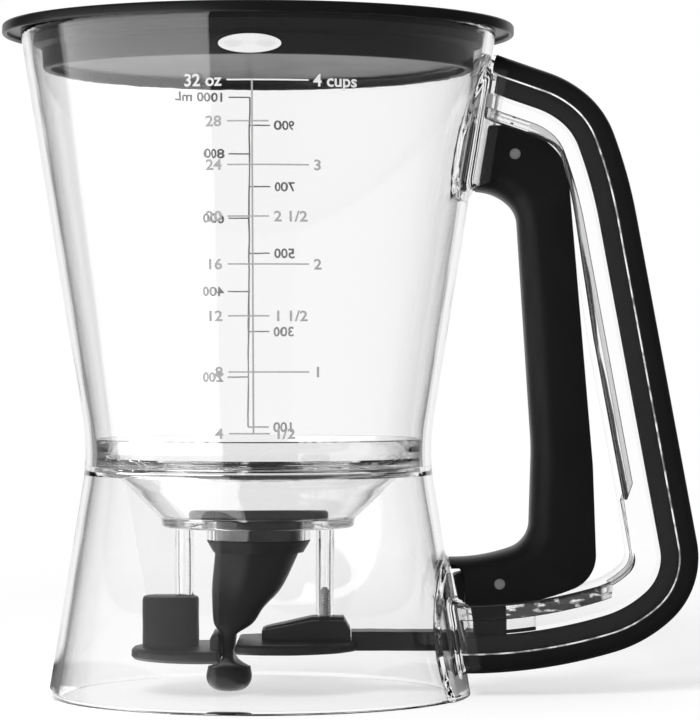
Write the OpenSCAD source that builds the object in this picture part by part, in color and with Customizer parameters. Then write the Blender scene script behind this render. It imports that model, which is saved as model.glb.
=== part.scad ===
// Hand-held batter dispenser: a clear measuring container on a flared skirt,
// a lift-off lid, a looped handle, and a trigger that opens a pinched sleeve.
// Millimetres. +Z is up, the handle is at +X, and the origin is the centre of
// the skirt's foot.

/* [Container] */
// Outer radius of the skirt at its foot
foot_radius = 57.7; // [54:0.1:61]
// Outer radius where the skirt's and the container's cones would meet
waist_radius = 46.9; // [44.5:0.1:49.5]
// Height at which the two cones would meet
waist_height = 67.3; // [64:0.1:71]
// Outer radius of the container's rim
rim_radius = 65.5; // [63:0.1:68]
// Height of the rim above the foot
body_height = 182.4; // [176:0.1:188]
// Radius that blends the two cones at the waist
waist_blend = 60; // [40:1:75]
// Wall of the container and skirt
wall = 2.8; // [2.2:0.1:3.4]
// Width of the ledge that carries the funnel
ledge_width = 1.9; // [1.2:0.1:2.4]
// Thickness of the ledge
ledge_height = 1.8; // [1.2:0.1:2.6]

/* [Lid] */
// Outer radius of the lid's flange
lid_radius = 70.4; // [69:0.1:72]
// Thickness of the flange where it lies over the rim
lid_flange = 2.4; // [1.8:0.1:3.2]
// How far the flange's downturned lip hangs below its underside
lid_lip_drop = 1.3; // [0.6:0.1:1.8]
// Thickness of the lip
lid_lip = 1.4; // [1:0.1:2]
// Depth of the plug below the rim
plug_depth = 9.7; // [7:0.1:12]
// Wall of the plug
plug_wall = 2.4; // [1.8:0.1:3]
// Height of the plug's floor above the plug's lower edge
plug_floor_rise = 3; // [2:0.1:4]
// Radial gap between the plug's bead and the container
bead_gap = 0.3; // [0.2:0.05:0.5]

/* [Funnel] */
// Wall of the funnel
funnel_wall = 2.2; // [1.6:0.1:2.8]
// Height of the funnel's rim band
funnel_band = 7.6; // [6:0.1:9]
// Radius of the funnel's flat bottom
funnel_flat_radius = 26; // [23:0.1:29]
// Height of the underside of the funnel's flat bottom above the foot
funnel_flat_height = 46.2; // [44:0.1:48]
// Radius of the hole in the flat bottom
throat_radius = 11.8; // [10.5:0.1:13]
// Depth of the collar round the throat, below the flat bottom
collar_depth = 3.5; // [2.5:0.1:4.5]
// Distance of the left post from the axis
left_post = 20.4; // [19.6:0.1:21.2]
// Distance of the right post from the axis
right_post = 18.3; // [17.6:0.1:19.4]
// Radius of the posts
post_radius = 2.5; // [2.2:0.1:2.9]
// Thickness of the gusset ribs beside the posts
gusset_wall = 1.4; // [1:0.1:2]

/* [Sleeve] */
// Wall of the silicone sleeve
sleeve_wall = 1.8; // [1.4:0.1:2.2]
// Radius of the sleeve's upper lip, inside the funnel
sleeve_lip_radius = 19.2; // [17:0.1:21]
// Height of the upper lip
sleeve_lip_height = 3.9; // [3:0.1:5]
// Radius of the sleeve's flange under the throat collar
sleeve_flange_radius = 14.3; // [13.8:0.1:15.2]
// Height of the flange under the collar
sleeve_flange_height = 3.4; // [2.6:0.1:4.2]
// Distance of the pinched neck from the axis
neck_offset = 8.1; // [7:0.1:9]
// Height at which the neck is pinched
neck_height = 13.6; // [12.8:0.1:14.4]
// Width of the flattened neck, front to back
neck_width = 20; // [18:0.1:22]
// Radius of the outlet bulb below the neck
bulb_radius = 6.3; // [5.8:0.1:6.8]
// Height of the outlet above the surface that the dispenser stands on
outlet_height = 0.9; // [0.6:0.1:1.6]

/* [Valve carriers] */
// Radius of the anvil bracket's socket
socket_radius = 7.8; // [7.4:0.1:8.4]
// Height of the socket above the bracket's plate
socket_height = 14; // [12:0.1:16]
// Thickness of the bracket's plate
anvil_plate = 3.2; // [2.8:0.1:3.6]
// Radius of the bracket's D-shaped plate
anvil_plate_radius = 21; // [19:0.1:22]
// Distance of the plate's left edge from the axis
anvil_plate_reach = 35; // [34:0.1:36]
// Thickness of the anvil bar that the neck is pinched against
anvil_bar = 2.7; // [2.2:0.1:3]
// Height of the anvil bar above the plate
anvil_bar_height = 4; // [3:0.1:4.2]
// Length of the guide block along the slide
guide_length = 24.3; // [22:0.1:26]
// Half width of the guide block, front to back
guide_half_width = 8; // [7:0.1:9]

/* [Slide bar] */
// Radius of the slide's D-shaped jaw plate
jaw_radius = 22; // [20:0.1:23]
// Thickness of the jaw plate
jaw_thickness = 2.6; // [2.2:0.1:3]
// Height of the jaw plate's underside above the foot
jaw_height = 12.4; // [12:0.1:12.8]
// Half width of the bar that runs out through the skirt
bar_half_width = 5.5; // [4.5:0.1:5.8]
// Thickness of the bar
bar_thickness = 5.2; // [4.6:0.1:5.6]
// How far the slide travels when the trigger is squeezed
slide_travel = 7; // [5:0.1:7.2]
// Gap all round the bar where it passes through the skirt
window_gap = 0.6; // [0.4:0.1:0.9]

/* [Handle] */
// Width of the handle, front to back
handle_width = 26; // [24:0.1:28]
// Height of the handle's outer line above the foot at the skirt
handle_low = 12; // [11.4:0.1:12.4]
// Height of the handle's outer line below the rim at the container
handle_drop = 12; // [9:0.1:15]
// Thickness of the grip outside the handle's frame
grip_thickness = 5.5; // [4.6:0.1:6.2]
// Rounding of the grip's outer corners
grip_rounding = 3.6; // [2:0.1:4]
// Width of the grip's tongue
tongue_width = 18; // [15:0.1:20]
// Depth of the grip's tongue in the frame
tongue_depth = 4.9; // [4.4:0.1:5.4]
// Thickness of the pads at the handle's roots
pad_thickness = 0.8; // [0.5:0.1:1.2]
// Radius of the pads' arched outline
pad_radius = 27; // [24:0.1:30]
// Radius of the fillet from the handle's sides to the pads
root_fillet = 5; // [3:0.1:6]
// Thickness of the frame's plate behind the grip's upper end
root_plate = 0.9; // [0.6:0.1:1.4]
// Height of the obround pocket in each flange near the upper root
pocket_height = 5.6; // [4:0.1:6.5]

/* [Trigger] */
// Width of the trigger, front to back
trigger_width = 20; // [18:0.1:20.4]
// Wall of the trigger
trigger_wall = 2.3; // [1.8:0.1:2.6]
// Rounding of the trigger's finger side
trigger_rounding = 6.5; // [4:0.1:7.5]
// Gap between the trigger's sides and the frame's flanges
trigger_gap = 0.4; // [0.3:0.05:0.6]
// Radius of the two steel pins
pin_radius = 1.5; // [1.2:0.05:1.7]
// Running clearance of a pin in its hole
pin_fit = 0.04; // [0.02:0.01:0.08]
// Height of the pivot pin below the handle's outer line at the container
pivot_drop = 21.9; // [21.5:0.1:22.5]
// Distance of the pivot pin from the container's wall
pivot_reach = 10.3; // [10:0.1:10.8]
// Height of the drive pin above the handle's outer line at the skirt
drive_rise = 19; // [18.6:0.1:19.4]
// Distance of the drive pin from the foot's edge
drive_reach = 8.4; // [8:0.1:8.9]
// Number of stiffening ribs inside the trigger
trigger_ribs = 4; // [2:1:6]
// Half width of the frame's lug that carries the pivot pin
lug_half_width = 3.9; // [3.2:0.1:4.2]
// Radius of the lug round the pin
lug_radius = 4.3; // [3.6:0.1:4.6]

/* [Screws and spring] */
// Radius of the screws' threaded shank
screw_radius = 1.25; // [1:0.05:1.4]
// Radius of the anvil screw's head
screw_head_radius = 2.8; // [2.4:0.1:3.2]
// Radius of the guide screw's head
shoulder_head_radius = 3.5; // [3:0.1:3.8]
// Radius of the guide screw's shoulder in the slide's slot
shoulder_radius = 2; // [1.7:0.05:2.2]
// Wire of the return spring
spring_wire = 0.9; // [0.7:0.05:1]
// Mean radius of the return spring's coil
spring_radius = 2.6; // [2.4:0.05:2.9]
// Turns of the return spring
spring_turns = 2.6; // [2.6:1:3.6]

/* [Hidden] */
$fn = 96;

// Clearances between pieces
seat_gap = 0.05;      // pieces of one assembly that seat on each other
free_gap = 0.3;       // pieces that move past each other
screw_gap = 0.05;     // a screw in its hole
rim_gap = 0.15;       // the funnel's rim inside the container, at the narrowest place
over = 1;             // overrun of a cut past its face
far = rim_radius;     // reach of a cut that runs clear of everything

clear_plastic = [0.86, 0.9, 0.93, 0.35];
soft_black = [0.09, 0.09, 0.1];
hard_black = [0.15, 0.15, 0.16];
steel = [0.68, 0.69, 0.71];

// ---- The body's outline ----
skirt_slope = (foot_radius - waist_radius) / waist_height;
cone_slope = (rim_radius - waist_radius) / (body_height - waist_height);
skirt_run = sqrt(1 + skirt_slope * skirt_slope);
cone_run = sqrt(1 + cone_slope * cone_slope);
blend_z = (foot_radius + waist_blend * skirt_run - waist_radius + cone_slope * waist_height
    - waist_blend * cone_run) / (skirt_slope + cone_slope);
blend_x = foot_radius + waist_blend * skirt_run - skirt_slope * blend_z;
blend_low = blend_z - waist_blend * skirt_slope / skirt_run;
blend_high = blend_z + waist_blend * cone_slope / cone_run;
blend_steps = 8;

// Outer radius of the body at a height
function body_r(z) =
    z < blend_low ? foot_radius - skirt_slope * z
    : z > blend_high ? waist_radius + cone_slope * (z - waist_height)
    : blend_x - sqrt(waist_blend * waist_blend - (z - blend_z) * (z - blend_z));

// Heights between two limits at which the outline is drawn
function body_levels(low, high) =
    [for (z = concat([low],
                     [for (k = [0:blend_steps]) blend_low + (blend_high - blend_low) * k / blend_steps],
                     [high])) if (z >= low && z <= high) z];

// The outline, moved out by extra, from low to high, with the axis side closed at inner
module body_outline(low, high, extra, inner = 0) {
    levels = body_levels(low, high);
    polygon(concat([[inner, low]], [for (z = levels) [body_r(z) + extra, z]], [[inner, high]]));
}

// The body as a solid, with its surface moved out by extra
module body_solid(extra, low = -over, high = body_height + over) {
    rotate_extrude($fn = 180) body_outline(low, high, extra);
}

// ---- Routes made of straight and round runs in the handle's plane ----
// A run is [bend radius or 0 for straight, angle or length, steps, value carried at its end...]
function bend_centre(at, heading, r) = at + r * [-sin(heading), cos(heading)];

function run_end(at, heading, run) =
    run[0] == 0 ? at + run[1] * [cos(heading), sin(heading)]
    : bend_centre(at, heading, run[0])
      + run[0] * [sin(heading + run[1]), -cos(heading + run[1])];

function heading_after(heading, run) = run[0] == 0 ? heading : heading + run[1];

function mix(a, b, t) = a * (1 - t) + b * t;

// Stations along one run: [x, z, heading, carried values...]
function run_stations(at, heading, run, carried) =
    [for (k = [1:run[2]])
        let (t = k / run[2],
             part = [run[0], run[1] * t],
             p = run_end(at, heading, part),
             values = [for (i = [0:1:len(carried) - 1]) mix(carried[i], run[3 + i], t)])
        concat([p.x, p.y, heading_after(heading, part)], values)];

function stations(runs, at, heading, carried = [], i = 0) =
    i >= len(runs) ? []
    : concat(run_stations(at, heading, runs[i], carried),
             stations(runs, run_end(at, heading, runs[i]), heading_after(heading, runs[i]),
                      [for (k = [0:1:len(carried) - 1]) runs[i][3 + k]], i + 1));

function route(runs, at, heading, carried = []) =
    concat([concat([at.x, at.y, heading], carried)], stations(runs, at, heading, carried));

function route_end(runs, at, heading, i = 0) =
    i >= len(runs) ? at
    : route_end(runs, run_end(at, heading, runs[i]), heading_after(heading, runs[i]), i + 1);

function heading_at(runs, heading, n, i = 0) =
    i >= n ? heading : heading_at(runs, heading_after(heading, runs[i]), n, i + 1);

// Solid skin over equal rings of points, with flat ends
module skin(rings) {
    n = len(rings[0]);
    last = len(rings) - 1;
    polyhedron(
        points = [for (ring = rings) each ring],
        faces = concat(
            [[for (j = [0:n - 1]) n - 1 - j]],
            [[for (j = [0:n - 1]) last * n + j]],
            [for (i = [0:last - 1], j = [0:n - 1])
                let (a = i * n + j, b = i * n + (j + 1) % n) each [[a, b, b + n], [a, b + n, a + n]]]),
        convexity = 10);
}

// A section point [depth, across] put at a station, where depth runs to the left of the heading
function place(station, p) =
    [station[0] - sin(station[2]) * p.x, p.y, station[1] + cos(station[2]) * p.x];

// Quarter of a circle from angle a0 to a1
function arc(centre, r, a0, a1, steps = 5) =
    [for (k = [0:steps]) let (a = mix(a0, a1, k / steps)) centre + r * [cos(a), sin(a)]];

function mirrored(points) = [for (k = [len(points) - 1:-1:0]) [points[k].x, -points[k].y]];

// ---- Handle ----
half_handle = handle_width / 2;
lead_in = 12;         // straight stretch that starts inside the skirt
rim_lead = 30;        // straight stretch that ends inside the container
handle_start = [foot_radius - 0.9 - lead_in, handle_low];
channel_floor = 9;    // depth of the inner channel's floor
filled_floor = 11.8;  // the same round the lower corner, where the channel is nearly filled
low_depth = 13.2;     // depth of the flanges in the lower arm
back_depth = 12.4;    // the same along the back
bend_depth = 10.3;    // the same at the upper bend
top_depth = 12.4;     // the same in the upper arm
handle_top = body_height - handle_drop;
lug_rise = 10.2;      // from the pivot pin up into the frame's web
// Runs of the outer line: bend radius, angle or length, steps, flange depth, channel floor
handle_arms = [
    [0, lead_in, 1, low_depth, channel_floor],
    [138, 16.5, 5, low_depth, channel_floor],
    [33.5, 8, 2, low_depth, channel_floor],
    [33.5, 4, 2, low_depth, filled_floor],
    [33.5, 14.5, 3, low_depth, filled_floor],
    [17.75, 57.5, 9, back_depth + 0.5, filled_floor],
    [0, 0, 1, back_depth, filled_floor],
    [128, 10, 2, bend_depth, channel_floor],
    [20.7, 31.5, 5, top_depth - 0.6, channel_floor],
    [26.6, 19, 3, top_depth, channel_floor]];
back_run = 6;
back_heading = heading_at(handle_arms, 0, back_run);
top_heading = heading_at(handle_arms, 0, len(handle_arms));
// The upper root lies where the outer line, going on straight, reaches the container's wall
arms_end = route_end(handle_arms, handle_start, 0);
root_slack = body_r(handle_top) - arms_end.x;
arms_rise = handle_top - arms_end.y + tan(top_heading) * -root_slack;
back_length = arms_rise / (sin(back_heading) - tan(top_heading) * cos(back_heading));
// The back rises straight in four stretches, with the channel opening above the lower corner
back_runs = [
    [0, 14, 1, back_depth, filled_floor],
    [0, 5, 1, back_depth, channel_floor],
    [0, back_length * 0.66 - 19, 2, back_depth, channel_floor],
    [0, back_length * 0.34, 2, (back_depth + bend_depth) / 2, channel_floor]];
handle_runs = concat(
    [for (i = [0:back_run - 1]) handle_arms[i]], back_runs,
    [for (i = [back_run + 1:len(handle_arms) - 1]) handle_arms[i]],
    [[0, rim_lead, 1, top_depth, channel_floor]]);
handle_route = route(handle_runs, handle_start, 0, [low_depth, channel_floor]);

// ---- Trigger ----
pivot = [body_r(handle_top - pivot_drop) + pivot_reach, handle_top - pivot_drop];
drive = [foot_radius + drive_reach, handle_low + drive_rise];
squeeze_angle = slide_travel / (pivot.y - drive.y) * 180 / PI;
trigger_lead = 3;             // straight stretch over the slide's lobe, towards the skirt
front_heading = 0.9;
back_line_heading = -2.5;
trigger_front_start = drive + [-11.6, 6.8] - trigger_lead * [cos(front_heading), sin(front_heading)];
trigger_back_start = drive + [-9.1, -6.3] - trigger_lead * [cos(back_line_heading), sin(back_line_heading)];
front_top = pivot.y - 9.6;    // height of the front line where the upper arm ends
back_top = pivot.y + 6.9;     // height of the back line there
// Runs of the finger side and of the back: bend radius, angle or length, steps
function front_runs(rise) = [
    [0, trigger_lead, 1], [47, 18.5, 4], [7.9, 68.8, 8], [0, 17.6, 1], [60.2, 5.5, 1], [0, rise, 3],
    [7.7, 41.3, 6], [13.1, 37.2, 4], [0, 3, 1]];
function back_line_runs(rise) = [
    [0, trigger_lead, 1], [71.2, 24, 4], [9.9, 70.5, 8], [0, 22.8, 1], [59.4, 2.8, 1], [0, rise, 3],
    [15, 52.4, 6], [26, 43.8, 4], [0, 3, 1]];
straight_run = 5;
front_rise = (front_top - route_end(front_runs(0), trigger_front_start, front_heading).y)
    / sin(heading_at(front_runs(0), front_heading, straight_run));
back_rise = (back_top - route_end(back_line_runs(0), trigger_back_start, back_line_heading).y)
    / sin(heading_at(back_line_runs(0), back_line_heading, straight_run));
front_route = route(front_runs(front_rise), trigger_front_start, front_heading);
back_route = route(back_line_runs(back_rise), trigger_back_start, back_line_heading);
half_trigger = trigger_width / 2;
rib_station = 15;             // station at which the straight run with the ribs starts
trigger_end_gap = 0.9;        // between the trigger's upper end and the root pad
trigger_rest_gap = 0.35;      // between its lower end and the root pad, where it comes to rest
notch_radius = 5;             // of the notch in its sides, through which the slide's lobe shows
notch = drive + [-14.5, 0.6];

// ---- Heights in the valve ----
ledge_top = blend_low + 5.3;
funnel_top = ledge_top + seat_gap + funnel_band;
flat_top = funnel_flat_height + funnel_wall + 0.4;
collar_bottom = funnel_flat_height - collar_depth;
flange_bottom = collar_bottom - 0.1 - sleeve_flange_height;
anvil_plate_top = neck_height - 0.4;
anvil_plate_bottom = anvil_plate_top - anvil_plate;
socket_top = anvil_plate_top + socket_height;
neck_half = sleeve_wall;      // half of the flattened neck's thickness
anvil_face = -neck_offset - neck_half - free_gap;
jaw_face = -neck_offset + neck_half + free_gap;
jaw_top = jaw_height + jaw_thickness;
guide_bottom = jaw_top + free_gap;
guide_top = guide_bottom + 6.2;
guide_left = right_post - 17.2;
guide_right = guide_left + guide_length;
post_foot = 9;                // how far the left post reaches into its socket
pilot_depth = 9;

// ---- Lid ----
plug_low = body_height - plug_depth;
bead_high = body_height - 1.8;
bead_low = bead_high - 2.6;
bead_radius = body_r(bead_low) - wall - bead_gap;
plug_radius = body_r(plug_low) - wall - 1.6;
lid_seat = body_height + 0.1;

module lid() {
    lip_round = lid_lip / 2;
    color(hard_black) rotate_extrude($fn = 180) difference() {
        union() {
            // Flange with a rounded edge and its downturned lip
            translate([plug_radius - plug_wall, lid_seat])
                square([lid_radius - lid_flange / 2 - plug_radius + plug_wall, lid_flange]);
            translate([lid_radius - lid_flange / 2, lid_seat + lid_flange / 2]) circle(r = lid_flange / 2);
            translate([lid_radius - lid_lip, lid_seat - lid_lip_drop + lip_round])
                square([lid_lip, lid_lip_drop - lip_round + lid_flange / 2]);
            translate([lid_radius - lip_round, lid_seat - lid_lip_drop + lip_round]) circle(r = lip_round);
            // Plug: a tapered ring, the floor across it, and the bead that grips the container
            polygon([[plug_radius - plug_wall, plug_low], [plug_radius - 0.6, plug_low],
                     [plug_radius, plug_low + 0.8], [plug_radius + 0.5, lid_seat + 0.2],
                     [plug_radius - plug_wall, lid_seat + 0.2]]);
            translate([0, plug_low + plug_floor_rise]) square([plug_radius - 1, plug_wall - 0.2]);
            polygon([[plug_radius - 0.5, bead_low - 1.2], [bead_radius, bead_low],
                     [bead_radius, bead_high], [plug_radius - 0.5, lid_seat + 0.2]]);
        }
        // Bevel round the dished top
        translate([plug_radius - plug_wall, lid_seat + lid_flange]) rotate(45) square(1.2, center = true);
    }
}

// One root pad: a thin skin on the body inside an arched outline, from low up to the arch
module root_pad(centre_z, low) {
    intersection() {
        difference() {
            body_solid(pad_thickness, low, centre_z + pad_radius + over);
            body_solid(-wall / 2);
        }
        translate([0, 0, centre_z]) rotate([90, 0, 90])
            cylinder(h = 2 * rim_radius, r = pad_radius, $fn = 128);
    }
}

// Concave fillets from the pad to both sides of the handle, between two heights, inside the arch
module root_fillets(low, high, centre_z) {
    middle = (low + high) / 2;
    pad_r = body_r(middle) + pad_thickness;
    slope = middle < waist_height ? -skirt_slope : cone_slope;
    side = half_handle + seat_gap;
    centre_y = side + root_fillet;
    centre_x = sqrt(pow(pad_r + root_fillet, 2) - centre_y * centre_y);
    touch = pad_r / (pad_r + root_fillet);
    buried = pad_r - wall;
    for (s = [-1, 1]) intersection() {
        translate([pad_r, 0, middle]) rotate([0, atan(slope), 0]) translate([-pad_r, 0, low - middle])
            linear_extrude(high - low) difference() {
                polygon([[centre_x, s * side], [centre_x * touch, s * centre_y * touch],
                         [sqrt(buried * buried - centre_y * centre_y), s * centre_y * touch],
                         [sqrt(buried * buried - side * side), s * side]]);
                translate([centre_x, s * centre_y]) circle(r = root_fillet, $fn = 64);
            }
        translate([0, 0, centre_z]) rotate([90, 0, 90])
            cylinder(h = 2 * rim_radius, r = pad_radius, $fn = 128);
    }
}

window_low = jaw_height - window_gap;
window_high = jaw_height + bar_thickness + window_gap;

module container_shell() {
    upper_pad_z = handle_top + 5 - pad_radius;
    lower_pad_z = handle_low;
    color(clear_plastic) difference() {
        union() {
            rotate_extrude($fn = 180) {
                difference() {
                    body_outline(0, body_height, 0);
                    body_outline(-over, body_height + over, -wall);
                }
                // Ledge under the funnel's rim
                polygon([[body_r(ledge_top) - wall + 0.5, ledge_top],
                         [body_r(ledge_top) - wall - ledge_width, ledge_top],
                         [body_r(ledge_top) - wall - ledge_width, ledge_top - ledge_height + 0.6],
                         [body_r(ledge_top) - wall + 0.5, ledge_top - ledge_height - 0.8]]);
            }
            root_pad(upper_pad_z, upper_pad_z - 10);
            root_pad(lower_pad_z, 0);
            root_fillets(upper_pad_z - 9.5, handle_top + 4, upper_pad_z);
            root_fillets(handle_low - grip_thickness, handle_low + 15, lower_pad_z);
        }
        // Window for the slide bar
        translate([waist_radius / 2, -bar_half_width - window_gap, window_low])
            cube([foot_radius, 2 * (bar_half_width + window_gap), window_high - window_low]);
    }
}

// The bowl's section, between its outer and inner faces
function bowl_face(inset) = [
    [body_r(ledge_top) - wall - ledge_width - 0.5 - inset, ledge_top + inset * 0.4],
    [40.2 - inset, ledge_top - 1.6 + inset * 0.6],
    [35.9 - inset * 0.8, ledge_top - 5.3 + inset * 0.6],
    [32.7 - inset * 0.8, ledge_top - 8.8 + inset * 0.6],
    [funnel_flat_radius + 0.7 - inset * 0.8, flat_top - 0.2 + inset * 0.2]];

module bowl_cavity() {
    rotate_extrude($fn = 180)
        polygon(concat([[0, funnel_top + over], [body_r(ledge_top) - wall, funnel_top + over]],
                       bowl_face(funnel_wall / 2), [[0, flat_top - 0.2]]));
}

// Gusset rib beside a post, from the post out to the bowl, for side -1 or 1
module gusset(side, post, foot_z, foot_x, top_x) {
    difference() {
        translate([0, gusset_wall / 2, 0]) rotate([90, 0, 0]) linear_extrude(gusset_wall)
            polygon([[side * post, foot_z], [side * foot_x, foot_z], [side * top_x, ledge_top - 1.5],
                     [side * post, ledge_top - 1.5]]);
        bowl_cavity();
    }
}

module post(x, low) {
    difference() {
        translate([x, 0, low]) cylinder(h = flat_top - 1 - low, r = post_radius, $fn = 48);
        translate([x, 0, low - over]) cylinder(h = pilot_depth + over, r = screw_radius + screw_gap, $fn = 32);
    }
}

module funnel() {
    rim_r = body_r(blend_z) - wall - rim_gap;
    top_r = body_r(funnel_top) - wall - rim_gap;
    face_out = bowl_face(0);
    face_in = bowl_face(funnel_wall);
    color(clear_plastic) union() {
        rotate_extrude($fn = 180)
            polygon(concat(
                [[top_r, funnel_top], [rim_r, blend_z], [rim_r, ledge_top + seat_gap]],
                face_out,
                [[funnel_flat_radius, funnel_flat_height], [14.3, funnel_flat_height],
                 [14.3, collar_bottom], [throat_radius, collar_bottom], [throat_radius, flat_top],
                 [funnel_flat_radius - 2, flat_top]],
                [for (k = [len(face_in) - 1:-1:0]) face_in[k]],
                [[rim_r - funnel_wall, ledge_top + 2.4], [top_r - 1.2, funnel_top]]));
        post(-left_post, socket_top - post_foot);
        post(right_post, guide_top + seat_gap);
        gusset(-1, left_post + post_radius - 0.4, socket_top + 0.4, 31, 38.6);
        gusset(1, right_post + post_radius - 0.4, guide_top + 0.4, 25, 36.5);
    }
}

// Level ring of the sleeve: two half rounds set apart, which close to a circle when width is 2 * half
function neck_ring(x, z, half, width) =
    let (apart = width / 2 - half)
    [for (k = [0:31])
        let (a = 174.375 - 11.25 * k)
        [x + half * cos(a), half * sin(a) + (sin(a) > 0 ? apart : -apart), z]];

module valve_sleeve() {
    top_r = throat_radius - 0.1;
    bore_r = top_r - sleeve_wall;
    bulb_top = outlet_height + 8.4;
    straight_low = anvil_plate_bottom - 0.1;
    thin = 2 * sleeve_wall;
    color(soft_black) difference() {
        union() {
            translate([0, 0, flat_top + seat_gap]) cylinder(h = sleeve_lip_height, r = sleeve_lip_radius);
            translate([0, 0, flange_bottom + 1]) cylinder(h = flat_top + 1 - flange_bottom - 1, r = top_r);
            translate([0, 0, flange_bottom])
                cylinder(h = sleeve_flange_height, r1 = sleeve_flange_radius - 1.8, r2 = sleeve_flange_radius);
            // Body, drawn over to the pinched neck and opening again to the bulb
            skin([neck_ring(-neck_offset, bulb_top - 1.8, bulb_radius - 0.5, 2 * bulb_radius - 1),
                  neck_ring(-neck_offset, straight_low, neck_half, neck_width),
                  neck_ring(-neck_offset, neck_height + 1.8, neck_half, neck_width),
                  neck_ring(-neck_offset + 0.3, neck_height + 3.6, neck_half + 0.3, neck_width),
                  neck_ring(-6.8, 19.8, 5.2, neck_width),
                  neck_ring(-5.6, 24, 7.1, neck_width - 1),
                  neck_ring(-3.1, 29.7, 9.7, neck_width - 0.6),
                  neck_ring(-0.4, flange_bottom + 0.2, top_r - 0.1, 2 * top_r - 0.2)]);
            translate([-neck_offset, 0, outlet_height]) rotate_extrude($fn = 48)
                polygon(concat([[0, 0]], arc([bulb_radius - 4.1, 4.1], 4.1, -90, 0),
                               [[bulb_radius, 4.6], [bulb_radius - 0.4, 6.8], [0, 6.8]]));
        }
        // Hollow of the body, closing towards the neck
        translate([0, 0, flange_bottom]) cylinder(h = far, r = bore_r);
        translate([0, 0, flat_top + sleeve_lip_height - 1.4])
            cylinder(h = 2, r1 = bore_r, r2 = sleeve_lip_radius - 1.6);
        skin([neck_ring(-neck_offset + 0.3, neck_height + 3.8, 0.3, neck_width - thin),
              neck_ring(-5.6, 24, 7.1 - sleeve_wall, neck_width - 1 - thin),
              neck_ring(-3.1, 29.7, 9.7 - sleeve_wall, neck_width - 0.6 - thin),
              neck_ring(0, flange_bottom + 0.1, bore_r - 0.1, 2 * bore_r - 0.2)]);
        // Outlet below the pinch
        translate([-neck_offset, 0, outlet_height - over]) cylinder(h = 6.6, r1 = 2.6, r2 = 3.8, $fn = 32);
    }
}

module anvil_bracket() {
    socket_x = -left_post - 3.8;
    plate_x = -anvil_plate_reach + anvil_plate_radius;
    bar_half = neck_width / 2 + 1.5;
    color(hard_black) difference() {
        union() {
            // D-shaped plate with a bevelled edge, and the socket that takes the left post
            difference() {
                translate([plate_x, 0, 0]) rotate_extrude($fn = 128)
                    polygon([[0, anvil_plate_bottom], [anvil_plate_radius - 0.8, anvil_plate_bottom],
                             [anvil_plate_radius, anvil_plate_bottom + 0.8],
                             [anvil_plate_radius, anvil_plate_top - 0.8],
                             [anvil_plate_radius - 0.8, anvil_plate_top], [0, anvil_plate_top]]);
                translate([anvil_face, -far, 0]) cube([2 * far, 2 * far, far]);
            }
            translate([socket_x, 0, anvil_plate_top - 0.2])
                cylinder(h = socket_height - 0.8, r = socket_radius);
            translate([socket_x, 0, socket_top - 1])
                cylinder(h = 1, r1 = socket_radius, r2 = socket_radius - 1);
            // Anvil bar with a round top
            translate([anvil_face - anvil_bar, -bar_half, anvil_plate_top - 0.2])
                cube([anvil_bar, 2 * bar_half, anvil_bar_height - anvil_bar / 2 + 0.2]);
            translate([anvil_face - anvil_bar / 2, bar_half, anvil_plate_top + anvil_bar_height - anvil_bar / 2])
                rotate([90, 0, 0]) cylinder(h = 2 * bar_half, r = anvil_bar / 2, $fn = 48);
        }
        translate([-left_post, 0, socket_top - post_foot - seat_gap])
            cylinder(h = post_foot + over, r = post_radius + seat_gap, $fn = 48);
        // Screw hole and the recess of the screw's head
        translate([-left_post, 0, anvil_plate_bottom - over])
            cylinder(h = far, r = screw_radius + screw_gap, $fn = 32);
        translate([-left_post, 0, anvil_plate_bottom - over])
            cylinder(h = 1.8 + over, r = screw_head_radius + 0.2, $fn = 48);
    }
}

// Screw with a cross recess, head down, at a place
module screw(x, head_low, head_h, head_r, shank_high) {
    recess = 1.1;
    color(steel) translate([x, 0, 0]) difference() {
        union() {
            translate([0, 0, head_low]) cylinder(h = head_h, r = head_r, $fn = 48);
            translate([0, 0, head_low + head_h - 0.1])
                cylinder(h = shank_high - head_low - head_h + 0.1, r = screw_radius, $fn = 32);
        }
        for (turn = [0, 90]) rotate(turn) translate([-head_r * 0.6, -0.3, head_low - over])
            cube([head_r * 1.2, 0.6, recess + over]);
    }
}

module anvil_screw() {
    head_h = 1.6;
    head_low = anvil_plate_bottom + 1.8 - seat_gap - head_h;
    screw(-left_post, head_low, head_h, screw_head_radius, socket_top - post_foot + pilot_depth - 1);
}

module guide_block() {
    toe = 3.3;
    shoulder_x = 13.8;
    color(hard_black) difference() {
        union() {
            translate([0, guide_half_width, 0]) rotate([90, 0, 0]) linear_extrude(2 * guide_half_width)
                polygon([[guide_left, guide_bottom], [guide_left, guide_bottom + toe - 0.6],
                         [guide_left + shoulder_x, guide_top - 0.8], [guide_right - 1.6, guide_top - 0.8],
                         [guide_right, guide_top - 3.4], [guide_right, guide_bottom]]);
            // Raised wedge on top, and the boss that the post stands on
            translate([0, 4.5, 0]) rotate([90, 0, 0]) linear_extrude(9)
                polygon([[guide_left + 0.8, guide_bottom + 1], [guide_left + 0.8, guide_bottom + toe],
                         [guide_left + shoulder_x, guide_top], [guide_right - 1.9, guide_top],
                         [guide_right - 1.9, guide_bottom + 1]]);
            translate([right_post, 0, guide_bottom + 1]) cylinder(h = guide_top - guide_bottom - 1, r = 3.6);
        }
        translate([right_post, 0, guide_bottom - over])
            cylinder(h = guide_top - guide_bottom + 2 * over, r = screw_radius + screw_gap, $fn = 32);
    }
}

slot_floor = jaw_height + 0.9;    // height of the ledge that rides on the guide screw's head
shoulder_top = guide_bottom - seat_gap;

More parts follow.
